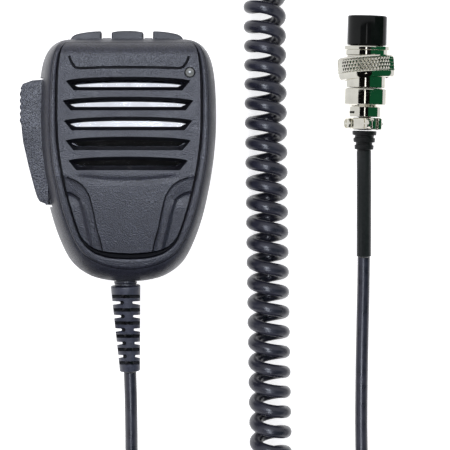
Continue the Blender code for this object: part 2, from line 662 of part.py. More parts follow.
def make_plug_shells():
    front = [(8.05, 7.6), (8.05, 6.3), (7.45, 6.3), (7.45, 4.4), (7.0, 4.4), (7.0, -6.9), (5.8, -6.9),
             (5.8, 7.6)]
    turned("plug_front_shell", front, "nickel", plug_matrix(), sides=28, closed=True)
    rear = [(7.2, -7.2), (7.45, -7.5), (7.45, -12.8), (5.65, -13.8), (5.65, -17.2), (3.0, -17.2),
            (3.0, -16.2), (5.0, -15.0), (6.4, -12.6), (6.4, -7.2)]
    shell = turned("plug_rear_shell", rear, "nickel", plug_matrix(), sides=28, closed=True)
    hole = rod("set_screw_hole", (0, -5, -10.2), (0, -9, -10.2), 1.35, sides=12)
    hole.matrix_world = plug_matrix()
    boolean(shell, hole)
    screw = rod("plug_set_screw", (0, -5.8, -10.2), (0, -7.3, -10.2), 1.05, "steel", sides=12)
    screw.matrix_world = plug_matrix()


def make_coupling_nut():
    top = NUT_HALF
    profile = [(8.4, top), (9.5, top), (NUT_RADIUS, top - 0.7), (NUT_RADIUS, 0.7 - top), (9.5, -top),
               (7.65, -top), (7.65, 1.5 - top), (8.4, 1.5 - top)]
    matrix = plug_matrix(NUT_TURN, NUT_DIP)
    turned("coupling_nut", profile, "nickel", matrix, sides=32, closed=True)


def make_plug_clamp():
    """Two saddles that close on the cable behind the shell, drawn together by two screws."""
    low = -21.7
    high = -17.5
    middle = (low + high) / 2
    for name, side in (("upper", -1), ("lower", 1)):
        y_range = sorted((0.4 * side, CLAMP_HALF_Y * side))
        strap = box("plug_clamp_" + name, (-CLAMP_HALF_X, y_range[0], low),
                    (CLAMP_HALF_X, y_range[1], high), "nickel", bevel=0.4)
        strap.matrix_world = clamp_matrix()
        boolean(strap, plug_rod("clamp_bore_" + name, 0, 0, low - 2, high + 2, LEAD_RADIUS + 0.4, sides=20))
        for screw_name, x in CLAMP_SCREWS.items():
            hole = rod("strap_hole_%s_%s" % (name, screw_name), (x, -6, middle), (x, 6, middle), 1.3,
                       sides=12)
            hole.matrix_world = clamp_matrix()
            boolean(strap, hole)
    top = CLAMP_HALF_Y + GAP
    for name, x in CLAMP_SCREWS.items():
        head = [(0.0, top + 1.5), (1.4, top + 1.5), (1.8, top + 1.1), (1.8, top), (1.0, top), (1.0, -3.4),
                (0.0, -3.4)]
        place_at = clamp_matrix() @ Matrix.Translation(point(x, 0, middle))
        turned("plug_clamp_screw_" + name, head, "steel", place_at @ Matrix.Rotation(math.pi / 2, 4, "X"),
               sides=12)
    plug_rod("plug_inner_jacket", 0, 0, -21.8, -11.5, LEAD_RADIUS, "cord_jacket", sides=16)


def make_plug_boot():
    profile = [(0.0, -22.1)]
    for rib, radius in enumerate((4.3, 3.8, 3.35)):
        high = -22.1 - rib * 2.5
        profile += [(radius, high), (radius, high - 1.7), (radius - 0.7, high - 1.75),
                    (radius - 0.7, high - 2.45)]
    profile += [(2.6, -29.6), (0.0, -29.6)]
    turned("plug_boot", profile, "cord_jacket", plug_matrix(), sides=20)


# --- assembly -----------------------------------------------------------------------------------------
clear_scene()
PARTS = make_collection("hand_microphone")
CUTTERS = make_collection("cutters")
MADE_MATERIALS = {name: make_material(name) for name in MATERIALS}

front_cover = make_front_cover()
rear_cover = make_rear_cover()
cut_shared_openings((front_cover, rear_cover))
make_hanger_stud()
make_stud_nut()
make_case_screws()
make_grille_window()
make_led()
make_boards()
make_capsule()
make_weight()
make_cable_clamp()
make_wires()
make_ptt()
make_ptt_spring()
make_ptt_switch()
make_keys()
make_cable_entry()
make_strain_relief()
make_cord()
make_insulator()
make_plug_shells()
make_coupling_nut()
make_plug_clamp()
make_plug_boot()
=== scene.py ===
"""Hand microphone: the finished looks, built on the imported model's fixed frame.

Lengths are millimetres, in the model's own frame, until point() turns them into metres. The microphone
lies on its back: +Z comes out of the grille, +Y points to the top keys and +X to the right.
"""
import math

import bmesh
import bpy
from mathutils import Matrix, Vector


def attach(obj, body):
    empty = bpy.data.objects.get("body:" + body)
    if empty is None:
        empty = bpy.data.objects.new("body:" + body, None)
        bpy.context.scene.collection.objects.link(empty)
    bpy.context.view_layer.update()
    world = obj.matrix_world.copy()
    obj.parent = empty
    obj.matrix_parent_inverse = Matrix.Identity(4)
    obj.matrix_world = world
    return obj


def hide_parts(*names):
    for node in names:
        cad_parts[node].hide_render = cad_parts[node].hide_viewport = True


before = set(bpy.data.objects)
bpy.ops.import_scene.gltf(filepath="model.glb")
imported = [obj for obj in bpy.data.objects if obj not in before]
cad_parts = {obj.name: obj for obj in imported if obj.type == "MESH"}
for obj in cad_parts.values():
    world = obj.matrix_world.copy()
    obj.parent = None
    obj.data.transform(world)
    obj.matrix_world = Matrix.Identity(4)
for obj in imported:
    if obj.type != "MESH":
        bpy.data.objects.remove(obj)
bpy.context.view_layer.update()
MM = 0.001
SAME_PLACE = 0.000002          # vertices nearer than this many metres are joined

# --- dimensions shared with the model ---
SPLIT_Z = 21.0
REAR_Z = 6.0
FRONT_Z = 36.0
TOE_Z = 30.0
TOE_START_Y = -9.0
TOE_END_Y = -46.0
HALF_OUTLINE = [
    (0.0, 39.3), (12.0, 39.0), (20.5, 38.6), (25.4, 36.9), (28.6, 32.8), (30.3, 26.0), (31.0, 15.0),
    (30.8, 4.0), (29.4, -8.5), (26.6, -22.0), (23.2, -32.0), (19.2, -39.2), (13.4, -43.6), (6.8, -45.5),
    (0.0, -45.9)]
SLOT_COUNT = 5
SLOT_PITCH = 6.92
SLOT_BOTTOM_Y = 20.5
SLOT_RISE = 4.6
SLOT_TIP_RISE = 3.1
SLOT_TIP_HALF = (21.5, 22.6, 22.2, 21.6, 20.6)
SLOT_END_SLANT = 2.7
SLOT_MID_X = 0.5
LED_XY = (21.9, 26.7)
LED_RADIUS = 1.85
PTT_Z = (13.0, 29.0)
PTT_FOOT_Z = (15.0, 25.0)
PTT_PIN_XY = (-24.6, -17.2)
PTT_FOOT = [
    (-28.5, -13.5), (-25.5, -14.9), (-23.6, -15.3), (-22.7, -16.4), (-22.7, -18.0), (-23.6, -19.1),
    (-25.5, -19.2), (-28.5, -19.2)]
PTT_WINDOW = [
    (-45.0, 25.1), (-26.2, 25.1), (-25.6, 2.0), (-24.4, -11.0), (-22.0, -14.0), (-22.0, -20.0),
    (-45.0, -20.0)]
KEY_Z = (14.5, 27.5)
KEY_INNER_Y = 34.0
KEY_PLAY = 0.45
KEY_CROWNS = {
    "left": [(-19.8, 37.6), (-19.5, 38.9), (-18.2, 40.0), (-15.5, 40.7), (-12.0, 41.15), (-9.0, 41.3)],
    "centre": [(-5.4, 40.9), (-3.0, 41.3), (0.1, 41.4), (3.0, 41.3), (5.6, 40.9)],
    "right": [(9.0, 41.3), (12.0, 41.15), (15.4, 40.7), (18.0, 40.0), (19.3, 38.9), (19.6, 37.6)]}
CASE_SCREWS = [(-21.8, 31.9), (21.8, 31.9), (-14.0, -36.0), (14.0, -36.0)]
ENTRY_X = -0.7
ENTRY_Z = 19.0
BOOT_TOP = (-0.7, -47.4, 19.0)
BOOT_TIP = (0.8, -77.4, 15.2)
BOOT_TOP_RADIUS = 5.2
BOOT_TIP_RADIUS = 3.55

LEAD_RADIUS = 2.2
CURL_TURN_RADIUS = 5.3         # of the wire's own centre line
CURL_LOW = 2.25                # height of the wire's centre where a turn touches the table
CURL_PITCH = 7.02
MIC_LEAD_ROUTE = [
    (0.82, -77.8, 15.12), (1.1, -88.0, 13.2), (1.2, -99.0, 8.8), (1.4, -110.0, 4.2), (3.2, -121.5, 2.4),
    (9.8, -131.8, 2.3), (19.8, -137.6, 2.3), (31.2, -137.8, 2.3), (41.6, -132.4, 2.3),
    (48.4, -123.2, 2.3), (50.3, -113.8, 2.3)]
CURL_ROUTE = [
    (50.3, -113.4), (50.3, -110.0), (49.6, -70.0), (49.0, -30.0), (48.5, 10.0), (48.0, 52.5),
    (48.0, 60.0), (48.0, 68.0), (51.5, 81.5), (60.4, 94.0), (74.6, 102.2), (92.6, 103.2),
    (108.8, 96.2), (119.6, 83.5), (124.0, 70.0), (124.0, 62.0), (124.3, 30.0), (124.0, -20.0),
    (124.2, -60.0), (124.0, -80.0), (124.0, -84.0)]
PLUG_LEAD_ROUTE = [
    (124.0, -84.4, 2.3), (124.0, -98.0, 2.3), (123.0, -111.5, 2.3), (118.0, -123.8, 2.3),
    (108.0, -131.2, 2.3), (96.0, -130.6, 2.3), (87.0, -122.8, 2.3), (82.9, -111.5, 2.3),
    (82.2, -100.0, 2.3), (82.3, -80.0, 2.3), (82.6, -62.0, 3.0), (82.85, -48.0, 4.8),
    (82.95, -37.5, 6.6)]
SHRINK_ROUTE = [(82.97, -37.1, 6.7), (82.95, -25.0, 8.6), (82.93, -12.0, 9.9), (82.9, -0.2, 10.2)]
SHRINK_RADIUS = 2.55
FIRST_BULGE_Y = 44.5           # a turn of the curl stands furthest left here

PLUG_CENTRE = (83.7, 28.9, 10.2)
PLUG_LEAN = math.radians(1.55)
NUT_TURN = math.radians(5.4)
NUT_DIP = math.radians(2.6)
CLAMP_TURN = math.radians(-50.0)
NUT_RADIUS = 10.0
NUT_HALF = 3.9

# --- front cover: half width and y of its outlines, from the top end to the cable end ---
RIM_OUT = [
    (22.3, 37.4), (25.6, 34.0), (27.2, 25.0), (27.7, 10.0), (27.0, -2.7), (25.2, -13.0), (22.9, -22.3),
    (20.4, -29.2), (17.8, -34.2), (14.8, -37.4), (10.0, -39.95), (4.6, -41.4), (0.0, -41.8)]
RIM_IN = [
    (22.2, 37.2), (24.2, 34.0), (25.5, 25.0), (25.6, 8.0), (24.7, -2.7), (22.8, -13.0), (20.9, -20.0),
    (19.4, -25.0), (17.6, -30.0), (15.6, -33.2), (13.0, -35.5), (10.4, -36.8), (6.0, -37.9), (0.0, -38.3)]
PANEL_EDGE = [
    (22.1, 37.1), (23.6, 34.0), (24.6, 25.0), (24.7, 8.0), (23.8, -2.7), (21.9, -13.0), (20.1, -20.0),
    (18.6, -25.0), (16.7, -30.0), (14.5, -32.8), (12.0, -34.4), (9.0, -35.3), (5.0, -35.8), (0.0, -36.1)]
FRONT_SHIFT_X = 0.8            # the front's features sit a little to the right of the case's middle
HOOD_START_Y = 32.0
HOOD_END_Y = 39.3
SIDE_POWER = 2.2
FLANK_POWER = 1.7
SCALLOP_TOP = [
    (24.2, -9.3), (21.0, -9.8), (18.1, -10.9), (15.9, -12.3), (14.6, -13.9), (13.4, -16.0), (12.6, -18.6),
    (11.6, -23.0), (10.8, -27.2), (9.6, -31.5), (8.7, -35.4), (8.4, -36.6)]
SCALLOP_POCKET = [
    (22.9, -14.5), (21.4, -14.6), (19.6, -15.1), (17.9, -16.1), (16.4, -17.4), (15.3, -19.3), (14.3, -22.6),
    (13.5, -26.4), (12.5, -30.4), (11.4, -34.9)]
HOOD_GROOVE = [
    (-20.7, 32.4), (-20.4, 31.2), (-19.4, 29.4), (-17.6, 28.2), (-10.0, 28.4), (0.0, 28.5), (10.0, 28.4),
    (17.6, 28.2), (19.4, 29.4), (20.4, 31.2), (20.7, 32.4)]


# --- small helpers ---
def point(x, y, z=0.0):
    return Vector((x, y, z)) * MM


def link(thing, material=None):
    bpy.context.scene.collection.objects.link(thing)
    if material is not None:
        thing.data.materials.append(material)
    return thing


def from_bmesh(name, work, material=None, smooth=True, sharp=35):
    mesh = bpy.data.meshes.new(name)
    bmesh.ops.recalc_face_normals(work, faces=work.faces)
    work.to_mesh(mesh)
    work.free()
    if smooth:
        mesh.shade_smooth()
        mesh.set_sharp_from_angle(angle=math.radians(sharp))
    return link(bpy.data.objects.new(name, mesh), material)


def circle(sides):
    """Cosine and sine of evenly spaced angles."""
    angles = [2 * math.pi * i / sides for i in range(sides)]
    return [(math.cos(angle), math.sin(angle)) for angle in angles]


def skin(name, rings, material=None, closed=False, smooth=True, sharp=35, dark=()):
    """Join rings of equal count with quads. closed joins the last ring to the first one.

    Otherwise both ends are capped. The bands of quads named in dark take the piece's second material; on the
    front cover that is the painted shade of its groove and trench."""
    work = bmesh.new()
    made = [[work.verts.new(p) for p in ring] for ring in rings]
    pairs = list(zip(made, made[1:]))
    if closed:
        pairs.append((made[-1], made[0]))
    count = len(made[0])
    for index, (a, b) in enumerate(pairs):
        for i in range(count):
            j = (i + 1) % count
            face = work.faces.new((a[i], a[j], b[j], b[i]))
            face.material_index = 1 if index in dark else 0
    if not closed:
        work.faces.new(made[0])
        work.faces.new(made[-1])
    bmesh.ops.remove_doubles(work, verts=work.verts, dist=SAME_PLACE)
    return from_bmesh(name, work, material, smooth, sharp)


def smooth_route(route, step):
    """Points about one step apart on a smooth curve through the route's points."""
    knots = [Vector(p) for p in route]
    knots = [knots[0] * 2 - knots[1]] + knots + [knots[-1] * 2 - knots[-2]]
    points = []
    for a, b, c, d in zip(knots, knots[1:], knots[2:], knots[3:]):
        pieces = max(1, round((c - b).length / step))
        for i in range(pieces):
            t = i / pieces
            points.append(0.5 * ((2 * b) + (c - a) * t + (2 * a - 5 * b + 4 * c - d) * t * t
                                 + (3 * b - a - 3 * c + d) * t ** 3))
    points.append(knots[-2])
    return points


def flat_route(line):
    return smooth_route([(x, y, 0.0) for x, y in line], 0.5)


def even_points(points, count):
    """The same line with a given number of points, evenly spaced."""
    lengths = [0.0]
    for a, b in zip(points, points[1:]):
        lengths.append(lengths[-1] + (b - a).length)
    spread = []
    index = 0
    for i in range(count):
        goal = lengths[-1] * i / (count - 1)
        while index < len(points) - 2 and lengths[index + 1] < goal:
            index += 1
        share = (goal - lengths[index]) / max(1e-9, lengths[index + 1] - lengths[index])
        spread.append(points[index].lerp(points[index + 1], min(1.0, max(0.0, share))))
    return spread


def smooth_step(low, high, value):
    t = min(1.0, max(0.0, (value - low) / (high - low)))
    return t * t * (3 - 2 * t)


def plate(name, outline, z_range, material=None):
    """A solid of one outline between two heights."""
    rings = [[point(x, y, z) for x, y in outline] for z in z_range]
    return skin(name, rings, material, smooth=False)


def box(name, low, high):
    outline = [(low[0], low[1]), (high[0], low[1]), (high[0], high[1]), (low[0], high[1])]
    return plate(name, outline, (low[2], high[2]))


def rod(name, start, end, radius, sides=48):
    """A straight round bar between two points."""
    start = point(*start)
    end = point(*end)
    work = bmesh.new()
    bmesh.ops.create_cone(work, cap_ends=True, segments=sides, radius1=radius * MM, radius2=radius * MM,
                          depth=(end - start).length)
    turn = Vector((0, 0, 1)).rotation_difference(end - start).to_matrix().to_4x4()
    bmesh.ops.transform(work, matrix=Matrix.Translation((start + end) / 2) @ turn, verts=work.verts)
    return from_bmesh(name, work)


def lathe(name, profile, material=None, matrix=None, sides=96, closed=False):
    """Turn a profile of (radius, height) about Z, then place it by a matrix."""
    place = matrix or Matrix.Identity(4)
    rings = []
    for radius, height in profile:
        rings.append([place @ point(radius * c, radius * s, height) for c, s in circle(sides)])
    return skin(name, rings, material, closed=closed, sharp=30)


def eased(profile, reach, closed=False):
    """The same profile with each corner cut back and rounded over a reach."""
    count = len(profile)
    made = []
    for i, corner in enumerate(profile):
        here = Vector(corner)
        if i in (0, count - 1) and not closed:
            made.append(tuple(here))
            continue
        before = Vector(profile[i - 1])
        after = Vector(profile[(i + 1) % count])
        a = here + (before - here).normalized() * min(reach, (before - here).length * 0.4)
        b = here + (after - here).normalized() * min(reach, (after - here).length * 0.4)
        for t in (0.0, 0.25, 0.5, 0.75, 1.0):
            spot = a * (1 - t) ** 2 + here * 2 * t * (1 - t) + b * t * t
            made.append(tuple(spot))
    return made


def tube(name, points, radius, material, sides=8):
    """A round wire through points in millimetres, as a curve of one open spline."""
    curve = bpy.data.curves.new(name, "CURVE")
    curve.dimensions = "3D"
    curve.bevel_depth = radius * MM
    curve.bevel_resolution = sides
    curve.use_fill_caps = True
    spline = curve.splines.new("POLY")
    spline.points.add(len(points) - 1)
    for knot, spot in zip(spline.points, points):
        knot.co = (*(Vector(spot) * MM), 1.0)
    spline.use_smooth = True
    return link(bpy.data.objects.new(name, curve), material)


def pipe(name, points, radius, sides=10):
    """A plain mesh tube, used as a cutter for grooves."""
    rings = []
    count = len(points)
    for i, spot in enumerate(points):
        ahead = points[min(count - 1, i + 1)] - points[max(0, i - 1)]
        side = ahead.cross(Vector((0, 0, 1))).normalized()
        upward = side.cross(ahead).normalized()
        rings.append([(spot + (side * c + upward * s) * radius) * MM for c, s in circle(sides)])
    return skin(name, rings)


def carve(thing, cutters, operation="DIFFERENCE", painted_shade=None):
    """Cut all the cutters out of a piece, apply the result and delete them.

    The cut faces take the given painted shade material if there is one: a darker plastic that stands for the
    shade falling in the cuts."""
    for cutter in cutters:
        change = thing.modifiers.new("cut", "BOOLEAN")
        change.operation = operation
        change.solver = "EXACT"
        change.material_mode = "TRANSFER"
        change.object = cutter
        if painted_shade is not None:
            cutter.data.materials.clear()
            cutter.data.materials.append(painted_shade)
    bake_modifiers(thing)
    for cutter in cutters:
        bpy.data.objects.remove(cutter, do_unlink=True)
    thing.data.shade_smooth()
    thing.data.set_sharp_from_angle(angle=math.radians(30))


def bake_modifiers(thing):
    bpy.context.view_layer.update()
    graph = bpy.context.evaluated_depsgraph_get()
    mesh = bpy.data.meshes.new_from_object(thing.evaluated_get(graph))
    mesh.name = thing.name
    thing.modifiers.clear()
    thing.data = mesh


def round_edges(thing, width, angle=35):
    bevel = thing.modifiers.new("rounded edges", "BEVEL")
    bevel.width = width * MM
    bevel.segments = 4
    bevel.limit_method = "ANGLE"
    bevel.angle_limit = math.radians(angle)
    bake_modifiers(thing)
    thing.data.shade_smooth()
    thing.data.set_sharp_from_angle(angle=math.radians(40))


def stand_for(thing, body, nodes):
    """The piece rides on a body in place of CAD nodes, which are hidden."""
    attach(thing, body)
    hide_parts(*nodes)
    return thing


# --- materials ---
def set_inputs(node, values):
    for name, value in values.items():
        node.inputs[name].default_value = value


def start_material(name, values):
    """A material whose shader has these inputs set."""
    material = bpy.data.materials.new(name)
    material.use_nodes = True
    tree = material.node_tree
    shader = tree.nodes["Principled BSDF"]
    set_inputs(shader, values)
    return material, tree, shader


def grain(tree, size, detail):
    """Noise with features of about one size, fixed to the piece."""
    where = tree.nodes.new("ShaderNodeTexCoord")
    noise = tree.nodes.new("ShaderNodeTexNoise")
    set_inputs(noise, {"Scale": 1.0 / (size * MM), "Detail": detail})
    tree.links.new(where.outputs["Object"], noise.inputs["Vector"])
    return noise.outputs["Fac"]


def ramp(tree, factor, low, high):
    """A colour that goes from one to another over the middle of the noise's range."""
    blend = tree.nodes.new("ShaderNodeValToRGB")
    for stop, place, colour in zip(blend.color_ramp.elements, (0.35, 0.65), (low, high)):
        stop.position = place
        stop.color = (*colour, 1.0)
    tree.links.new(factor, blend.inputs["Fac"])
    return blend.outputs["Color"]


def mixed(tree, factor, a, b):
    mix = tree.nodes.new("ShaderNodeMix")
    mix.data_type = "RGBA"
    tree.links.new(factor, mix.inputs["Factor"])
    tree.links.new(a, mix.inputs["A"])
    tree.links.new(b, mix.inputs["B"])
    return mix.outputs["Result"]


def add_bump(tree, shader, height, depth):
    bump = tree.nodes.new("ShaderNodeBump")
    set_inputs(bump, {"Strength": 1.0, "Distance": depth * MM})
    tree.links.new(height, bump.inputs["Height"])
    tree.links.new(bump.outputs["Normal"], shader.inputs["Normal"])


def value_range(tree, factor, low, high):
    """A value that goes from low to high over the middle of the noise's range."""
    spread = tree.nodes.new("ShaderNodeMapRange")
    set_inputs(spread, {"From Min": 0.3, "From Max": 0.7, "To Min": low, "To Max": high})
    tree.links.new(factor, spread.inputs["Value"])
    return spread.outputs["Result"]


def moulded(name, dark, light, roughness, size=0.45, depth=0.04, broad=9.0, specular=0.5, detail=2.0,
            sheen=0.0):
    """Moulded plastic or rubber: a fine grain, and slow changes of shade and gloss."""
    values = {"Sheen Weight": sheen, "Sheen Roughness": 0.3, "Specular IOR Level": specular}
    material, tree, shader = start_material(name, values)
    fine = grain(tree, size, detail)
    slow = grain(tree, broad, 3.0)
    shade = [0.5 * (a + b) for a, b in zip(dark, light)]
    fine_colour = ramp(tree, fine, dark, light)
    calm_colour = ramp(tree, slow, shade, [0.9 * c for c in shade])
    half = value_range(tree, slow, 0.1, 0.45)
    tree.links.new(mixed(tree, half, fine_colour, calm_colour), shader.inputs["Base Color"])
    gloss = value_range(tree, slow, roughness - 0.05, roughness + 0.06)
    tree.links.new(gloss, shader.inputs["Roughness"])
    add_bump(tree, shader, fine, depth)
    return material


def metal(name, dark, light, roughness, size=0.6, depth=0.006):
    """Plated or bare metal with faint handling marks."""
    material, tree, shader = start_material(name, {"Metallic": 1.0})
    fine = grain(tree, size, 4.0)
    slow = grain(tree, 6.0, 3.0)
    tree.links.new(ramp(tree, slow, dark, light), shader.inputs["Base Color"])
    gloss = value_range(tree, fine, roughness * 0.75, roughness * 1.35)
    tree.links.new(gloss, shader.inputs["Roughness"])
    if depth > 0.0:
        add_bump(tree, shader, fine, depth)
    return material


def glossy_film(name, dark, light, roughness, depth=0.01, coat=0.0, specular=0.5):
    """A smooth, faintly uneven gloss, as on a lens, a tinted window or a drawn jacket."""
    values = {"Specular IOR Level": specular, "Coat Weight": coat, "Coat Roughness": 0.12}
    material, tree, shader = start_material(name, values)
    slow = grain(tree, 3.5, 2.0)
    tree.links.new(ramp(tree, slow, dark, light), shader.inputs["Base Color"])
    gloss = value_range(tree, slow, roughness * 0.85, roughness * 1.2)
    tree.links.new(gloss, shader.inputs["Roughness"])
    if depth > 0.0:
        add_bump(tree, shader, slow, depth)
    return material


def wire_plastic(name, dark, light):
    return moulded(name, dark, light, 0.4, size=1.5)


def make_materials():
    return {
        "case": moulded("case plastic", (0.001, 0.001, 0.002), (0.020, 0.021, 0.034), 0.38,
                        size=0.36, depth=0.17, detail=0.5, sheen=0.05),
        # painted shade: a darker, duller copy of the case plastic. It goes on the trench, the band's edge
        # groove, the slots, the grooves and the openings, and stands for the shade that falls in them.
        "painted_shade": moulded("case recess", (0.001, 0.001, 0.002), (0.003, 0.003, 0.005), 0.55,
                          specular=0.12),
        "rubber": moulded("key rubber", (0.008, 0.008, 0.011), (0.018, 0.018, 0.024), 0.50),
        "boot": moulded("boot rubber", (0.015, 0.016, 0.025), (0.025, 0.027, 0.042), 0.40,
                        size=0.8, depth=0.012),
        "plug_boot": moulded("plug boot rubber", (0.006, 0.006, 0.007), (0.010, 0.011, 0.012), 0.42,
                             size=0.8, depth=0.012, specular=0.3),
        "jacket": glossy_film("cord jacket", (0.007, 0.007, 0.012), (0.012, 0.012, 0.020), 0.30,
                              depth=0.0),
        "shrink": moulded("shrink sleeve", (0.008, 0.010, 0.011), (0.013, 0.016, 0.017), 0.40,
                          size=1.2, depth=0.01, specular=0.35),
        "window": metal("mirrored window film", (0.78, 0.80, 0.86), (0.90, 0.92, 0.97), 0.05,
                        size=5.0, depth=0.0),
        "lens": glossy_film("status lens", (0.07, 0.072, 0.07), (0.14, 0.142, 0.138), 0.08, coat=0.8),
        "nickel": metal("nickel plate", (0.67, 0.65, 0.58), (0.77, 0.75, 0.67), 0.07),
        "steel": metal("steel", (0.42, 0.42, 0.43), (0.55, 0.55, 0.56), 0.28, depth=0.01),
        "brass": metal("contact brass", (0.62, 0.44, 0.17), (0.78, 0.58, 0.27), 0.22),
        "insulator": glossy_film("insulator", (0.003, 0.0035, 0.0035), (0.005, 0.0055, 0.0055), 0.10,
                                 depth=0.0, specular=0.2),
        "board": moulded("board resin", (0.016, 0.10, 0.045), (0.030, 0.16, 0.075), 0.45, size=1.4),
        "switch": moulded("switch plastic", (0.018, 0.018, 0.020), (0.032, 0.032, 0.036), 0.5),
        "wire_red": wire_plastic("red wire", (0.36, 0.02, 0.015), (0.52, 0.04, 0.03)),
        "wire_white": wire_plastic("white wire", (0.60, 0.60, 0.57), (0.74, 0.74, 0.71)),
        "wire_yellow": wire_plastic("yellow wire", (0.60, 0.40, 0.04), (0.76, 0.54, 0.08)),
        "wire_black": wire_plastic("black wire", (0.015, 0.015, 0.016), (0.03, 0.03, 0.032))}


# --- camera, light and floor ---
CAMERA_SPOT = (34.1, -26.25, 2018.0)
VIEW_WIDTH = 157.5             # at the height of the case's middle
VIEW_HEIGHT = 18.0
SENSOR = 36.0
CARD_Z = 2.4                   # the overhead cards hang this many metres above the table
CARD_GAP = 0.02                # between one overhead card and the next one below it
SIDE_CARD_Y = (-6.0, 50.0)     # the stretch of the plug's axis that the side cards stand beside
GREEN_FROM_Z = 11.4            # the right side card is green from this height up
FLOOR_GLOW = 0.9               # keeps the shadows on the table faint
FLOOR_HALF = 4.0
WORLD_GLOW = 0.85
COOL_WHITE = (0.97, 0.98, 1.0)
BLACK = (0.004, 0.004, 0.004)
GREEN = (0.008, 0.080, 0.034)
# name: place, aim and size in metres, and power
ROOM_LIGHTS = {
    "key light": ((-0.2, 1.1, 1.6), (0.04, 0.0, 0.0), (1.2, 0.8), 13.0),
    "fill light": ((0.3, -1.5, 1.5), (0.04, 0.0, 0.0), (1.4, 1.0), 5.0)}
LINKED_LIGHTS = {
    "case softbox": ((0.0, 0.24, 1.6), (0.0, 0.24, 0.0), (1.0, 0.8), 26.0),
    "curl softbox": ((-0.16, 0.12, 1.6), (-0.16, 0.12, 0.0), (0.52, 0.9), 17.0),
    "lead softbox": ((-0.16, -0.95, 1.3), (0.0, -0.08, 0.0), (0.4, 1.0), 12.0),
    "window strip": ((0.034, 0.50, 2.3), (0.034, 0.50, 0.0), (6.0, 0.18), 120.0)}


def make_camera():
    data = bpy.data.cameras.new("camera")
    data.sensor_width = SENSOR
    data.lens = SENSOR * (CAMERA_SPOT[2] - VIEW_HEIGHT) / VIEW_WIDTH
    data.clip_start = 0.01
    data.clip_end = 20.0
    camera = bpy.data.objects.new("camera", data)
    camera.location = point(*CAMERA_SPOT)
    bpy.context.scene.collection.objects.link(camera)
    bpy.context.scene.camera = camera


def floor_paint(colour):
    """Matt, and glowing a little."""
    paint = (*colour, 1.0)
    values = {"Base Color": paint, "Roughness": 0.9, "Specular IOR Level": 0.0}
    values.update({"Emission Color": paint, "Emission Strength": FLOOR_GLOW})
    return start_material("floor paint", values)[0]


def card_glow(name, colour, strength=1.0):
    """The cards' own light, with nothing mirrored in them."""
    material = bpy.data.materials.new(name)
    material.use_nodes = True
    tree = material.node_tree
    tree.nodes.clear()
    glow = tree.nodes.new("ShaderNodeEmission")
    set_inputs(glow, {"Color": (*colour, 1.0), "Strength": strength})
    output = tree.nodes.new("ShaderNodeOutputMaterial")
    tree.links.new(glow.outputs["Emission"], output.inputs["Surface"])
    return material


def make_floor():
    work = bmesh.new()
    bmesh.ops.create_grid(work, x_segments=1, y_segments=1, size=FLOOR_HALF)
    floor = from_bmesh("floor", work, floor_paint((0.80, 0.80, 0.81)), smooth=False)


def make_card(name, corners, material):
    """A flat card that shows only in shiny surfaces."""
    work = bmesh.new()
    work.faces.new([work.verts.new(corner) for corner in corners])
    card = from_bmesh(name, work, material, smooth=False)
    card.visible_camera = False
    card.visible_diffuse = False
    card.visible_shadow = False
    card.visible_transmission = False


def make_overhead_card(name, x_range, y_range, height, material):
    """A card over the table. Its edges are angles in degrees from straight up."""
    x_low, x_high = [height * math.tan(math.radians(a)) for a in x_range]
    y_low, y_high = [height * math.tan(math.radians(a)) for a in y_range]
    corners = [(x_low, y_low), (x_high, y_low), (x_high, y_high), (x_low, y_high)]
    middle_x = CAMERA_SPOT[0] * MM
    middle_y = CAMERA_SPOT[1] * MM
    make_card(name, [(x + middle_x, y + middle_y, height) for x, y in corners], material)


def make_upright_card(name, start, end, z_range, material):
    """A card that stands on a line from one (x, y) to another."""
    low, high = z_range
    make_card(name, [point(*start, low), point(*end, low), point(*end, high), point(*start, high)], material)


def make_side_card(name, x, z_range, material):
    """An upright card beside the plug, so that its plating doesn't mirror the cord."""
    make_upright_card(name, (x, SIDE_CARD_Y[0]), (x, SIDE_CARD_Y[1]), z_range, material)


def make_cards():
    """Overhead a black and a green card and a bright strip; then the cards at the plug and the case."""
    dark = card_glow("black card", BLACK)
    green = card_glow("green card", GREEN)
    strip = card_glow("zenith glow", (1.0, 1.0, 1.0), 2.2)
    make_overhead_card("dark_card", (-40, 84), (-72, 9), CARD_Z, dark)
    make_overhead_card("green_card", (23, 84), (-60, 8.5), CARD_Z - CARD_GAP, green)
    make_overhead_card("zenith_strip", (-5, 0.5), (-7, 7), CARD_Z - 2 * CARD_GAP, strip)
    glow = card_glow("side glow", COOL_WHITE, 0.9)
    make_side_card("left_glow", 68.5, (0.2, 30.0), glow)
    make_side_card("right_glow", 99.5, (0.2, GREEN_FROM_Z), glow)
    make_side_card("right_green", 99.5, (GREEN_FROM_Z, 30.0), card_glow("green side", GREEN))
    make_upright_card("end_card", (-32.0, -64.0), (32.0, -64.0), (0.2, 40.0), card_glow("black end", BLACK))


def make_area(name, spot, aim, size, power):
    data = bpy.data.lights.new(name, "AREA")
    data.shape = "RECTANGLE"
    data.size = size[0]
    data.size_y = size[1]
    data.energy = power
    light = bpy.data.objects.new(name, data)
    light.location = spot
    light.rotation_mode = "QUATERNION"
    light.rotation_quaternion = (Vector(aim) - Vector(spot)).to_track_quat("-Z", "Y")
    light.visible_camera = False
    light.visible_glossy = False
    bpy.context.scene.collection.objects.link(light)
    return light


def make_light():
    world = bpy.data.worlds.new("soft room")
    world.use_nodes = True
    set_inputs(world.node_tree.nodes["Background"], {"Color": (*COOL_WHITE, 1.0), "Strength": WORLD_GLOW})
    bpy.context.scene.world = world
    bpy.context.scene.view_settings.view_transform = "Standard"
    for name, values in ROOM_LIGHTS.items():
        make_area(name, *values)


def light_only(name, lit):
    """One of the linked lights: seen by these pieces alone, in their gloss too."""
    light = make_area(name, *LINKED_LIGHTS[name])
    light.visible_glossy = True
    light.data.color = (0.82, 0.88, 1.0)
    group = bpy.data.collections.new("lit by the " + name)
    for thing in lit:
        group.objects.link(thing)
    light.light_linking.receiver_collection = group


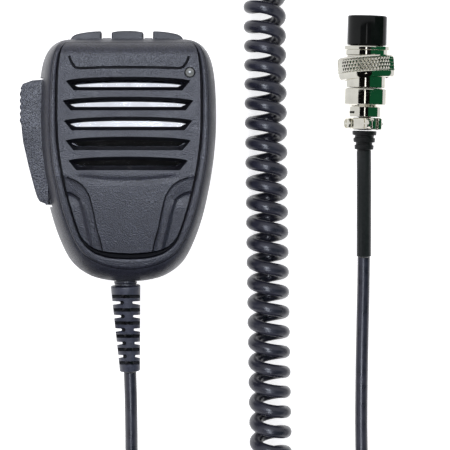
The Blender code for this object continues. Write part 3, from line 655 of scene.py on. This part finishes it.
# --- cord ---
TURN_STEPS = 24
CURL_GAIN = 0.2                # part of a turn gained where the turns lie closer, near the top
LEAN_REACH = 295.0             # how fast the turns lean away from the camera's foot
MOST_LEAN = 0.27
UPRIGHT_FROM_Y = 62.0          # past the case the turns stand upright again


def curl_lean(y):
    """The curl's turns lean a little along it, more towards both ends of the stretch beside the case."""
    return max(-MOST_LEAN, min(MOST_LEAN, (y - CAMERA_SPOT[1]) / LEAN_REACH))


def curl_points():
    """The wire's centre line through the curl, from a turn that opens up to one that closes again."""
    axis = flat_route(CURL_ROUTE)
    along = [0.0]
    for a, b in zip(axis, axis[1:]):
        along.append(along[-1] + (b - a).length)
    total = along[-1]
    at_bulge = next(s for s, p in zip(along, axis) if p.y >= FIRST_BULGE_Y)
    count = int(total / CURL_PITCH * TURN_STEPS)
    axis = even_points(axis, count + 1)
    points = []
    opening = 1.3 * CURL_PITCH
    for i, spot in enumerate(axis):
        s = total * i / count
        gained = CURL_GAIN * smooth_step(8.0, 50.0, s - at_bulge + FIRST_BULGE_Y)
        phase = math.pi + 2 * math.pi * ((s - at_bulge) / CURL_PITCH + gained)
        ahead = (axis[min(count, i + 1)] - axis[max(0, i - 1)]).normalized()
        across = Vector((ahead.y, -ahead.x, 0.0))
        grow = min(1.0, s / opening, (total - s) / opening)
        radius = CURL_TURN_RADIUS * grow * grow * (3 - 2 * grow)
        rise = radius * math.sin(phase)
        fade = min(1.0, max(0.0, (UPRIGHT_FROM_Y - spot.y) / 12.0)) if spot.x < 60.0 else 0.0
        lean = curl_lean(spot.y) * fade * rise
        centre = Vector((spot.x, spot.y, CURL_LOW + radius))
        points.append(centre + across * radius * math.cos(phase) + Vector((0, lean, rise)))
    return points


def make_cord(materials):
    lead = smooth_route(MIC_LEAD_ROUTE, 2.0)
    curl = curl_points()
    end = smooth_route(PLUG_LEAD_ROUTE, 2.0)
    points = lead[:-1] + curl[1:-1] + end[1:]
    cord = tube("curly_cord", points, LEAD_RADIUS, materials["jacket"], sides=6)
    return stand_for(cord, "case", ("cord_mic_lead", "cord_curl_near", "cord_curl_bend", "cord_curl_far",
                                    "cord_plug_lead"))


make_camera()
make_light()
make_cards()
make_floor()
MATERIALS = make_materials()
cord = make_cord(MATERIALS)


# --- case covers ---
HOOD_STEPS = 46                # points from the middle of the top end to its corner
FLANK_STEPS = 170              # points from there to the middle of the cable end
FLANK_RINGS = 25
BAND_RINGS = 15
TRENCH_RINGS = 11
PANEL_RINGS = 76
TRENCH_DEPTH = 1.9
BAND_DROP = 0.9                # the flanks end this far under the front's height
INNER_RINGS = ((0.999, 2.6), (0.6, 2.6), (0.25, 2.5), (0.0, 2.4))   # share of the way in, and thickness
FRONT_MIDDLE = (FRONT_SHIFT_X, -4.0)
REAR_MIDDLE = (0.0, -4.0)
SCALLOP_MID_X = 0.25
CRACK = 0.3                    # between the covers


def front_height(y):
    t = min(1.0, max(0.0, (TOE_START_Y - y) / (TOE_START_Y - TOE_END_Y)))
    return FRONT_Z - (FRONT_Z - TOE_Z) * (0.45 * t + 0.55 * t * t)


def hood_height(y):
    """The top end rolls over to the joint between the covers."""
    t = min(1.0, max(0.0, (y - HOOD_START_Y) / (HOOD_END_Y - HOOD_START_Y)))
    return SPLIT_Z + (FRONT_Z - SPLIT_Z) * (1 - t ** SIDE_POWER) ** (1 / SIDE_POWER)


def split_outline():
    """The case's half outline as a top-end part and a flank part, each with a fixed count."""
    points = flat_route(HALF_OUTLINE)
    corner = next(i for i, p in enumerate(points) if p.x >= RIM_OUT[0][0] + 0.4)
    top = even_points(points[:corner + 1], HOOD_STEPS)
    return top[:-1] + even_points(points[corner:], FLANK_STEPS)


def half_line(line, top_y):
    """An inner outline with the same counts: straight over the top end, then down the flank."""
    corner = Vector((*line[0], 0.0))
    top = even_points([Vector((0.0, top_y, 0.0)), corner], HOOD_STEPS)
    return top[:-1] + even_points(flat_route(line), FLANK_STEPS)


def whole_ring(half, shift=0.0):
    """Mirror a half outline to a full ring, moved sideways by a shift."""
    right = [Vector((p.x + shift, p.y, p.z)) for p in half]
    left = [Vector((shift - p.x, p.y, p.z)) for p in reversed(half[1:-1])]
    return right + left


def between(a, b, share):
    return [p.lerp(q, share) for p, q in zip(a, b)]


def hump(value, width):
    return math.exp(-(value / width) ** 2)


def side_of(line, x, y):
    """Distance from a half-width line, positive on its outer and lower side."""
    best = 1e9
    sign = 1.0
    for (ax, ay), (bx, by) in zip(line, line[1:]):
        dx = bx - ax
        dy = by - ay
        t = min(1.0, max(0.0, ((x - ax) * dx + (y - ay) * dy) / (dx * dx + dy * dy)))
        away_x = x - ax - t * dx
        away_y = y - ay - t * dy
        far = away_x * away_x + away_y * away_y
        if far < best:
            best = far
            sign = 1.0 if dx * away_y - dy * away_x > 0 else -1.0
    return sign * math.sqrt(best)


def panel_height(x, y):
    """The front panel: flat over the grille, a shallow crease under it, and two scallops below."""
    z = front_height(y)
    crease_y = -10.9 + 0.0046 * x * x
    z -= 0.42 * hump(y - crease_y, 1.0) * smooth_step(20.0, 14.0, abs(x))
    if y > -7.0:
        return z
    half = abs(x - SCALLOP_MID_X)
    step = side_of(SCALLOP_TOP, half, y)
    if step < -1.0:
        return z
    pocket = side_of(SCALLOP_POCKET, half, y)
    z -= 0.45 * smooth_step(-0.1, 0.3, step) + 0.11 * max(0.0, min(4.0, step))
    upper = smooth_step(-20.0, -16.5, y)
    z -= (0.35 + 0.6 * upper) * smooth_step(-0.15, 0.8, pocket)
    z += 0.6 * (1 - upper) * hump(pocket - 0.35, 0.6)
    return z


def band_height(y, inner_gap, outer_gap):
    """The raised band round the panel: crowned, with a groove along its outer edge."""
    crown = min(1.0, inner_gap / 0.8)
    z = front_height(y) - 0.15 - 0.3 * (1 - crown) ** 2
    return z - 0.75 * hump(outer_gap, 0.4)


def under_hood(p, z):
    """A place on the front, never above the roll of its top end."""
    return point(p.x, p.y, min(z, hood_height(p.y)))


def flank_rings(outline, rim_out):
    """From the joint between the covers up to the raised band."""
    rings = []
    for k in range(FLANK_RINGS):
        angle = math.pi / 2 * k / FLANK_RINGS
        reach = math.cos(angle) ** (2 / FLANK_POWER)
        climb = math.sin(angle) ** (2 / FLANK_POWER)
        ring = []
        for p in between(rim_out, outline, reach):
            top = front_height(p.y) - BAND_DROP
            z = min(SPLIT_Z + (top - SPLIT_Z) * climb, hood_height(p.y))
            ring.append(point(p.x, p.y, max(SPLIT_Z, z)))
        rings.append(ring)
    return rings


def band_rings(rim_out, rim_in):
    rings = []
    for k in range(BAND_RINGS):
        share = k / BAND_RINGS
        ring = []
        for a, b in zip(rim_out, rim_in):
            wide = (a - b).length
            p = a.lerp(b, share)
            ring.append(under_hood(p, band_height(p.y, wide * (1 - share), wide * share)))
        rings.append(ring)
    return rings


def trench_rings(rim_in, panel):
    """The narrow trench between the band and the panel."""
    rings = []
    for k in range(TRENCH_RINGS):
        share = k / TRENCH_RINGS
        trench = TRENCH_DEPTH * min(1.0, 4.5 * share, 4.5 * (1 - share))
        rings.append([under_hood(p, front_height(p.y) - 0.3 - trench) for p in between(rim_in, panel, share)])
    return rings


def panel_rings(panel, middle):
    rings = []
    for k in range(PANEL_RINGS):
        places = between(panel, [middle] * len(panel), k / PANEL_RINGS)
        rings.append([under_hood(p, panel_height(p.x, p.y)) for p in places])
    rings.append([point(middle.x, middle.y, panel_height(middle.x, middle.y))] * len(panel))
    return rings


def inner_rings(outline, middle):
    """The cover's inside, from the middle back out to the joint."""
    rings = []
    for share, drop in INNER_RINGS:
        ring = []
        for p in between([0.90 * q + 0.10 * middle for q in outline], [middle] * len(outline), share):
            ring.append(point(p.x, p.y, min(front_height(p.y), hood_height(p.y * 1.04)) - drop))
        rings.append(ring)
    rings.append([point(q.x * 0.925, middle.y + (q.y - middle.y) * 0.925, SPLIT_Z) for q in outline])
    return rings


def make_front_cover(materials):
    outline = whole_ring(split_outline())
    lines = ((RIM_OUT, 37.4), (RIM_IN, 37.2), (PANEL_EDGE, 37.1))
    rim_out, rim_in, panel = [whole_ring(half_line(*values), FRONT_SHIFT_X) for values in lines]
    middle = Vector((*FRONT_MIDDLE, 0.0))
    rings = flank_rings(outline, rim_out) + band_rings(rim_out, rim_in) + trench_rings(rim_in, panel)
    rings += panel_rings(panel, middle) + inner_rings(outline, middle)
    # The groove along the band's outer edge and the trench between band and panel take the second material, a
    # painted shade; the faces cut by slots, grooves and openings take it too.
    trench_start = FLANK_RINGS + BAND_RINGS
    dark = {FLANK_RINGS} | set(range(trench_start, trench_start + TRENCH_RINGS))
    cover = skin("front_shell", rings, materials["case"], closed=True, sharp=40, dark=dark)
    cover.data.materials.append(materials["painted_shade"])
    tools = [slot_cutter(index) for index in range(SLOT_COUNT)]
    tools += [rod("led_hole", (*LED_XY, 30.0), (*LED_XY, 38.0), LED_RADIUS + 0.05, sides=40)]
    tools += shared_openings()
    tools += groove_cutters()
    carve(cover, tools, painted_shade=materials["painted_shade"])
    return stand_for(cover, "case", ["front_cover"])


def groove_cutters():
    """Fine grooves drawn along lines of the front: over the grille and round the scallops."""
    hood = [Vector((x + FRONT_SHIFT_X, y, hood_height(y))) for x, y in HOOD_GROOVE]
    cutters = [pipe("hood_groove", smooth_route(hood, 0.8), 0.46)]
    for side in (-1, 1):
        for name, line, sink in (("top", SCALLOP_TOP, 0.1), ("pocket", SCALLOP_POCKET, 0.3)):
            path = []
            for x, y in line[1:]:
                if name == "top" or y > -18.0:
                    z = panel_height(SCALLOP_MID_X + x, y) - sink
                    path.append((SCALLOP_MID_X + side * x, y, z))
            route = smooth_route(path, 0.8)
            cutters.append(pipe("%s_groove_%d" % (name, side), route, 0.3))
    return cutters


def shared_openings():
    """The openings that both covers share: press-to-talk bar, top keys and cable entry."""
    tools = [plate("ptt_opening", PTT_WINDOW, (PTT_Z[0] - 0.4, PTT_Z[1] + 0.4))]
    for name, crown in KEY_CROWNS.items():
        low = (crown[0][0] - KEY_PLAY, KEY_INNER_Y - 1.5, KEY_Z[0] - KEY_PLAY)
        high = (crown[-1][0] + KEY_PLAY, 45.0, KEY_Z[1] + KEY_PLAY)
        tools.append(box("key_opening_" + name, low, high))
    tools.append(rod("cable_entry", (ENTRY_X, -40.0, ENTRY_Z), (ENTRY_X, -50.0, ENTRY_Z), 3.6))
    return tools


def slot_outline(index, low_in, top_in, end_in):
    """A flat lower edge, slanted pointed ends and an arched upper edge, each drawn in by a distance."""
    bottom = SLOT_BOTTOM_Y - index * SLOT_PITCH
    half = SLOT_TIP_HALF[index] - end_in
    low = half - SLOT_END_SLANT + 0.5 * low_in
    tip = bottom + SLOT_TIP_RISE - 0.8 * top_in
    rise = SLOT_RISE - SLOT_TIP_RISE - 0.2 * top_in
    outline = [(SLOT_MID_X + low * k, bottom + low_in) for k in (-1.0, -0.5, 0.0, 0.5, 1.0)]
    for i in range(33):
        angle = math.pi * i / 32
        outline.append((SLOT_MID_X + half * math.cos(angle), tip + rise * math.sin(angle)))
    return outline


def slot_cutter(index):
    """A slot that narrows towards the window behind it."""
    deep = slot_outline(index, 1.3, 1.1, 2.2)
    face = slot_outline(index, -0.15, -0.15, -0.2)
    levels = [(deep, 30.0), (deep, 33.3), (face, 36.15), (face, 37.5)]
    rings = [[point(x, y, z) for x, y in outline] for outline, z in levels]
    return skin("sound_slot_%d" % (index + 1), rings, smooth=False)


def rear_levels():
    """Scale and height of the rear cover's rings: down the outside, over the back, then up the inside."""
    shape = [(0.985, 0.0), (0.985, 0.05), (1.0, 0.05)]
    for k in range(1, 21):
        angle = math.pi / 2 * k / 20
        shape.append((0.76 + 0.24 * math.cos(angle) ** 0.8, 0.05 + 0.95 * math.sin(angle) ** 0.8))
    shape += [(0.74, 1.0), (0.735, 0.965), (0.715, 0.965), (0.71, 1.0)]
    shape += [(0.6, 1.0), (0.4, 1.0), (0.2, 1.0), (0.02, 1.0)]
    seam_z = SPLIT_Z - CRACK
    levels = [(scale, seam_z + (REAR_Z - seam_z) * depth) for scale, depth in shape]
    return levels + [(0.02, REAR_Z + 2.3), (0.70, REAR_Z + 2.3), (0.90, 12.0), (0.925, seam_z)]


def make_rear_cover(materials):
    outline = whole_ring(split_outline())
    middle = Vector((*REAR_MIDDLE, 0.0))
    rings = []
    for scale, z in rear_levels():
        rings.append([(middle + (q - middle) * scale + Vector((0, 0, z))) * MM for q in outline])
    cover = skin("rear_shell", rings, materials["case"], closed=True, sharp=40)
    tools = shared_openings()
    tools.append(rod("stud_hole", (0, 0, 4), (0, 0, 10), 2.3))
    ring_groove = [(7.6, 6.45), (7.6, 5.0), (8.3, 5.0), (8.3, 6.45)]
    tools.append(lathe("stud_ring", ring_groove, closed=True, sides=64))
    for i, (x, y) in enumerate(CASE_SCREWS):
        tools.append(rod("screw_recess_%d" % i, (x, y, 4.0), (x, y, 13.2), 2.7))
    for i in range(7):
        y = -16.0 - 2.2 * i
        half = 8.5 - 0.45 * i
        tools.append(rod("rear_flute_%d" % i, (-half, y, 5.75), (half, y, 5.75), 0.8, sides=20))
    carve(cover, tools)
    return stand_for(cover, "case", ["rear_cover"])


WINDOW_COLUMNS = 40
WINDOW_ROWS = 36
WINDOW_THICK = 0.35
WINDOW_LOW_Y = -9.0
WINDOW_STEP_Y = 24.2           # the sheet is narrower above this


def window_rows(work, sink):
    """One face of the bowed sheet, as rows of vertices joined by quads."""
    made = []
    for r in range(WINDOW_ROWS + 1):
        y = WINDOW_LOW_Y + 35.6 * r / WINDOW_ROWS
        half = window_half(y)
        line = []
        for c in range(WINDOW_COLUMNS + 1):
            x = half * (2 * c / WINDOW_COLUMNS - 1)
            line.append(work.verts.new(point(x, y, window_height(y) - sink)))
        made.append(line)
    for a, b in zip(made, made[1:]):
        for c in range(WINDOW_COLUMNS):
            work.faces.new((a[c], a[c + 1], b[c + 1], b[c]))
    return made


def make_grille_window(materials):
    """Mirrored sheet behind the slots, bowed so that its upper part leans back."""
    work = bmesh.new()
    edge = window_edge(window_rows(work, 0.0))
    under = window_edge(window_rows(work, WINDOW_THICK))
    for i in range(len(edge)):
        j = (i + 1) % len(edge)
        work.faces.new((edge[i], edge[j], under[j], under[i]))
    window = from_bmesh("tinted_window", work, materials["window"])
    return stand_for(window, "case", ["grille_window"])


def window_half(y):
    if y <= WINDOW_STEP_Y:
        return 22.6 + 0.8 * (y - WINDOW_LOW_Y) / 33.2
    return 19.0 - 1.6 * (y - WINDOW_STEP_Y) / 2.4


def window_height(y):
    """Tilts towards the top keys over the upper slots and a little the other way over the low ones."""
    past = y - 5.5
    return 32.9 - (0.135 * past if past > 0.0 else -0.10 * past)


def window_edge(rows):
    low = rows[0]
    high = rows[-1][::-1]
    right = [row[-1] for row in rows[1:-1]]
    left = [row[0] for row in rows[-2:0:-1]]
    return low + right + high + left


# --- moving pieces of the microphone ---
PTT_BUMPS = (19.3, 17.0, 14.8, 12.4, 10.2)


def ptt_edge():
    """The bar's outline from above, with finger ridges down its outer edge."""
    corner = [(-29.2, 24.4), (-33.0, 24.1), (-36.3, 22.9), (-37.2, 21.2)]
    ridged = []
    for i in range(61):
        y = 21.0 - 13.0 * i / 60
        bump = max(hump((y - centre) / 0.95, 0.8) ** 0.5 for centre in PTT_BUMPS)
        ridged.append((-36.75 - 0.65 * bump, y))
    lower = [(-36.6, 6.0), (-36.2, 2.6), (-34.3, -5.8), (-32.4, -13.0), (-31.3, -16.6), (-30.4, -18.1)]
    inner = [(-27.3, -19.3), (-27.3, -13.0), (-27.9, -8.0), (-28.6, 2.0), (-29.0, 12.0)]
    return corner + ridged + lower + inner


def make_ptt(materials):
    bar = plate("talk_bar", ptt_edge(), PTT_Z)
    bar.data.materials.append(materials["case"])
    round_edges(bar, 0.8, angle=50)
    foot = plate("talk_foot", PTT_FOOT, PTT_FOOT_Z)
    carve(bar, [foot], "UNION")
    x, y = PTT_PIN_XY
    carve(bar, [rod("talk_bore", (x, y, 12), (x, y, 30), 1.12)])
    return stand_for(bar, "press_to_talk", ["ptt_bar"])


def make_keys(materials):
    keys = []
    for name, crown in KEY_CROWNS.items():
        outline = [(crown[0][0], KEY_INNER_Y)] + [(p.x, p.y) for p in flat_route(crown)]
        outline.append((crown[-1][0], KEY_INNER_Y))
        key = plate("button_" + name, outline, KEY_Z, materials["rubber"])
        round_edges(key, 0.9, angle=40)
        keys.append(stand_for(key, name + "_key", ["key_" + name]))
    return keys


def make_lens(materials):
    x, y = LED_XY
    dome = [(0.02, 36.7), (0.5, 36.66), (0.9, 36.53), (1.2, 36.33), (1.45, 36.05), (1.6, 35.7), (1.66, 35.3),
            (1.66, 32.2), (0.02, 32.2)]
    lens = lathe("lens_dome", dome, materials["lens"], Matrix.Translation(point(x, y)), sides=48)
    return stand_for(lens, "case", ["led_lens"])


# --- cable entry ---
BOOT_FRONT_Y = (-51.2, -55.9, -60.5, -65.1, -69.8, -74.5)
BOOT_SIDE_Y = (-53.4, -58.2, -62.9, -67.6, -72.2)


def boot_centre(y):
    share = (y - BOOT_TOP[1]) / (BOOT_TIP[1] - BOOT_TOP[1])
    return Vector(BOOT_TOP).lerp(Vector(BOOT_TIP), share)


def make_boot(materials):
    """The tapered strain relief: slotted through front and back, and notched at the sides between."""
    top = Vector(BOOT_TOP)
    tip = Vector(BOOT_TIP)
    length = (tip - top).length
    turn = Vector((0, 0, 1)).rotation_difference(top - tip).to_matrix().to_4x4()
    place = Matrix.Translation(point(*tip)) @ turn
    profile = eased([(0.02, length), (BOOT_TOP_RADIUS, length), (BOOT_TIP_RADIUS, 0.0), (0.02, 0.0)], 0.45)
    boot = lathe("tapered_boot", profile, materials["boot"], place, sides=88)
    tools = []
    for y in BOOT_FRONT_Y:
        c = boot_centre(y)
        for low, high in ((-8.0, -1.2), (1.2, 8.0)):
            tools.append(box("front_slit", (c.x - 7, y - 0.6, c.z + low), (c.x + 7, y + 0.6, c.z + high)))
    for y in BOOT_SIDE_Y:
        c = boot_centre(y)
        for side in (-1, 1):
            near = c.x + 2.1 * side
            far = c.x + 6.0 * side
            outline = [(near, y - 0.3), (near + 0.3 * side, y - 0.42), (far, y - 0.95), (far, y + 0.6),
                       (near + 0.3 * side, y + 0.42), (near, y + 0.3)]
            tools.append(plate("side_slit", outline, (c.z - 7, c.z + 7)))
        tools.append(rod("side_hole", (c.x - 1.45, y, c.z + 2.2), (c.x - 1.45, y, c.z + 8.0), 0.72, sides=20))
    # The walls of the slits, notches and holes take the painted shade material, darker than the boot rubber,
    # for the shade inside them.
    carve(boot, tools, painted_shade=materials["painted_shade"])
    core = lathe("boot_core", [(0.02, length - 1), (1.95, length - 1), (1.95, 1.0), (0.02, 1.0)],
                 materials["jacket"], place, sides=48)
    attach(core, "case")
    return stand_for(boot, "case", ["strain_relief_boot"])


def make_collar(materials):
    place = Matrix.Translation(point(ENTRY_X, -41.3, ENTRY_Z)) @ Matrix.Rotation(math.pi / 2, 4, "X")
    profile = eased([(0.02, 6.3), (3.7, 6.3), (3.7, 5.5), (4.0, 5.3), (4.0, 4.6), (3.3, 4.6), (3.3, 1.1),
                     (4.6, 1.1), (4.6, 0.0), (0.02, 0.0)], 0.15)
    collar = lathe("entry_collar", profile, materials["case"], place, sides=64)
    return stand_for(collar, "case", ["gland_collar"])


# --- plug ---
KNURL_TEETH = 50
KNURL_DEPTH = 0.5
PIN_CIRCLE = 3.6
EAR_X = 4.9                    # a saddle's screws stand this far to both sides of the cable
CLAMP_Z = (-21.7, -17.5)


def plug_matrix(turn=0.0, dip=0.0):
    """Frame with its Z along the plug's axis, towards the mating face, and its X across the table."""
    across = Matrix.Rotation(turn - PLUG_LEAN, 4, "Z")
    along = Matrix.Rotation(-math.pi / 2 - dip, 4, "X")
    return Matrix.Translation(point(*PLUG_CENTRE)) @ across @ along


def at_plug(thing):
    thing.data.transform(plug_matrix())
    return thing


def make_insulator(materials):
    profile = eased([(0.02, 18.4), (6.95, 18.4), (6.95, 7.9), (5.5, 7.9), (5.5, -1.5), (0.02, -1.5)], 0.6)
    block = lathe("socket_block", profile, materials["insulator"], plug_matrix())
    tools = []
    for index in range(4):
        angle = math.pi * (0.25 + index / 2)
        x = PIN_CIRCLE * math.cos(angle)
        y = PIN_CIRCLE * math.sin(angle)
        tools.append(at_plug(rod("pin_hole_%d" % index, (x, y, -3), (x, y, 20), 1.3, sides=32)))
    tools.append(at_plug(box("key_way", (-0.9, 6.1, 8.5), (0.9, 8.0, 20.0))))
    carve(block, tools)
    return stand_for(block, "case", ["plug_insulator"])


def make_shell(name, profile, materials):
    return lathe(name, eased(profile, 0.16, True), materials["nickel"], plug_matrix(), closed=True)


def make_shells(materials):
    front = [(8.05, 7.6), (8.05, 6.3), (7.45, 6.3), (7.45, 4.4), (7.0, 4.4), (7.0, -6.9), (5.8, -6.9),
             (5.8, 7.6)]
    rear = [(7.2, -7.2), (7.45, -7.5), (7.45, -12.8), (5.65, -13.8), (5.65, -17.2), (3.0, -17.2),
            (3.0, -16.2), (5.0, -15.0), (6.4, -12.6), (6.4, -7.2)]
    front_shell = make_shell("sleeve_front", front, materials)
    stand_for(front_shell, "case", ["plug_front_shell"])
    rear_shell = make_shell("sleeve_rear", rear, materials)
    carve(rear_shell, [at_plug(box("neck_notch", (-6.5, -4.2, -16.1), (-3.4, -1.6, -15.3)))])
    stand_for(rear_shell, "case", ["plug_rear_shell"])
    return [front_shell, rear_shell]


def knurl(angle, height, low, high):
    """Depth of the diamond knurl under the nut's full radius."""
    fade = min(smooth_step(low, low + 0.35, height), smooth_step(high, high - 0.35, height))
    across = KNURL_TEETH * angle / (2 * math.pi)
    along = height / (2 * math.pi * NUT_RADIUS / KNURL_TEETH) / 1.9
    heights = []
    for sum_ in (across + along, across - along):
        heights.append(1 - 2 * abs(sum_ - math.floor(sum_) - 0.5))
    rise = min(1.0, 1.35 * min(heights))
    return KNURL_DEPTH * (1 - rise) * fade


def make_nut(materials):
    top = NUT_HALF
    place = plug_matrix(NUT_TURN, NUT_DIP)
    low = -1.75
    high = top - 0.55
    grip = NUT_RADIUS - 0.02
    levels = [(8.5, top), (9.3, top), (9.72, top - 0.12), (9.9, top - 0.4)]
    rows = 52
    for i in range(rows + 1):
        levels.append((grip, high + (low - high) * i / rows))
    levels += [(9.93, low - 0.15), (9.93, -2.6), (9.75, -3.35), (9.45, -3.8), (9.2, -top), (7.75, -top),
               (7.65, -top + 0.1), (7.65, 1.5 - top), (8.4, 1.5 - top), (8.4, top - 0.1)]
    sides = KNURL_TEETH * 10
    rings = []
    for radius, height in levels:
        ring = []
        for i in range(sides):
            angle = 2 * math.pi * i / sides
            reach = radius - (knurl(angle, height, low, high) if radius == grip else 0.0)
            ring.append(place @ point(reach * math.cos(angle), reach * math.sin(angle), height))
        rings.append(ring)
    nut = skin("knurled_nut", rings, materials["nickel"], closed=True, sharp=22)
    return stand_for(nut, "nut", ["coupling_nut"])


def clamp_matrix():
    return plug_matrix() @ Matrix.Rotation(CLAMP_TURN, 4, "Z")


def make_saddle(name, side, materials):
    """Arched over the cable on one side, with a rounded ear at both ends."""
    low, high = CLAMP_Z
    middle = (low + high) / 2
    arch = [(6.9, 0.4), (6.9, 1.7), (6.6, 2.35), (6.0, 2.6), (4.6, 2.65), (3.6, 2.9), (2.6, 3.4), (1.3, 3.6)]
    outline = [(x, y * side) for x, y in arch] + [(-x, y * side) for x, y in reversed(arch)]
    strap = plate("saddle_" + name, outline, CLAMP_Z, materials["nickel"])
    round_edges(strap, 0.45)
    tools = [rod("cable_bore", (0, 0, low - 2), (0, 0, high + 2), LEAD_RADIUS + 0.4)]
    for x in (-EAR_X, EAR_X):
        tools.append(rod("ear_hole", (x, -6, middle), (x, 6, middle), 1.3))
    carve(strap, tools)
    strap.data.transform(clamp_matrix())
    return stand_for(strap, "case", ["plug_clamp_" + name])


def make_saddle_screw(name, x, materials):
    """A round head with a cross, through both saddles' ears."""
    profile = [(0.02, 4.4), (1.55, 4.4), (1.9, 3.9), (1.9, 2.7), (1.0, 2.7), (1.0, -3.4), (0.02, -3.4)]
    screw = lathe("saddle_screw_" + name, eased(profile, 0.25), materials["nickel"], sides=40)
    carve(screw, [box("screw_slot", (-2.2, -0.28, 3.95), (2.2, 0.28, 5.0)),
                  box("screw_cross", (-0.28, -2.2, 3.95), (0.28, 2.2, 5.0))])
    middle = Matrix.Translation(point(x, 0, (CLAMP_Z[0] + CLAMP_Z[1]) / 2))
    screw.data.transform(clamp_matrix() @ middle @ Matrix.Rotation(math.pi / 2, 4, "X"))
    return stand_for(screw, "case", ["plug_clamp_screw_" + name])


def make_clamp(materials):
    """Two saddles closed on the cable, and their two screws."""
    made = [make_saddle(name, side, materials) for name, side in (("upper", -1), ("lower", 1))]
    made += [make_saddle_screw(name, x, materials) for name, x in (("left", -EAR_X), ("right", EAR_X))]
    return made


def make_plug_boot(materials):
    profile = [(0.02, -22.1)]
    for rib, radius in enumerate((4.3, 3.85, 3.4)):
        high = -22.1 - rib * 2.5
        profile += [(radius, high), (radius - 0.1, high - 1.5), (radius - 0.95, high - 1.55),
                    (radius - 0.95, high - 2.4)]
    profile += [(2.65, -29.55), (0.02, -29.6)]
    boot = lathe("ribbed_boot", eased(profile, 0.22), materials["plug_boot"], plug_matrix())
    stand_for(boot, "case", ["plug_boot"])
    sleeve = tube("shrink_sleeve", smooth_route(SHRINK_ROUTE, 1.5), SHRINK_RADIUS, materials["shrink"])
    stand_for(sleeve, "case", ["heat_shrink"])
    return [boot, sleeve]


# --- carried-over CAD nodes ---
CAD_FINISHES = {
    "steel": ("hanger_stud", "stud_nut", "case_screw_top_left", "case_screw_top_right", "case_screw_low_left",
              "case_screw_low_right", "ptt_pivot_pin", "ptt_return_spring", "weight_plate", "cable_clamp",
              "clamp_screw_left", "clamp_screw_right", "mic_capsule", "plug_set_screw"),
    "lens": ("status_led",),
    "board": ("circuit_board", "keypad_board"),
    "rubber": ("capsule_boot",),
    "switch": ("ptt_switch_body", "key_switch_left", "key_switch_centre", "key_switch_right",
               "ptt_switch_plunger"),
    "jacket": ("cord_inner_jacket", "plug_inner_jacket"),
    "brass": ("plug_contact_1", "plug_contact_2", "plug_contact_3", "plug_contact_4"),
    "wire_red": ("wire_red",),
    "wire_white": ("wire_white",),
    "wire_yellow": ("wire_yellow",),
    "wire_black": ("wire_black",)}


def finish_cad_nodes(materials):
    """The CAD nodes that stay visible, or may be seen through gaps, take finished materials."""
    for finish, nodes in CAD_FINISHES.items():
        for node in nodes:
            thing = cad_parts[node]
            for socket in thing.material_slots:
                socket.material = materials[finish]


matt_pieces = [make_front_cover(MATERIALS), make_rear_cover(MATERIALS), make_ptt(MATERIALS)]
matt_pieces += make_keys(MATERIALS)
matt_pieces += [make_boot(MATERIALS), make_collar(MATERIALS), make_lens(MATERIALS)]
# The bright strip is mirrored by the window's upper part. The case softbox hangs straight over the case. The
# cord has one light over the curl and one past its end, for the lead that slopes down from the boot.
light_only("window strip", [make_grille_window(MATERIALS)])
light_only("case softbox", matt_pieces)
light_only("curl softbox", [cord])
light_only("lead softbox", [cord])
on_cord = [make_insulator(MATERIALS), make_nut(MATERIALS)]
on_cord += make_shells(MATERIALS)
on_cord += make_clamp(MATERIALS)
on_cord += make_plug_boot(MATERIALS)
finish_cad_nodes(MATERIALS)
inside_plug = ("plug_inner_jacket", "plug_set_screw", *CAD_FINISHES["brass"])
on_cord += [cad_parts[name] for name in inside_plug]
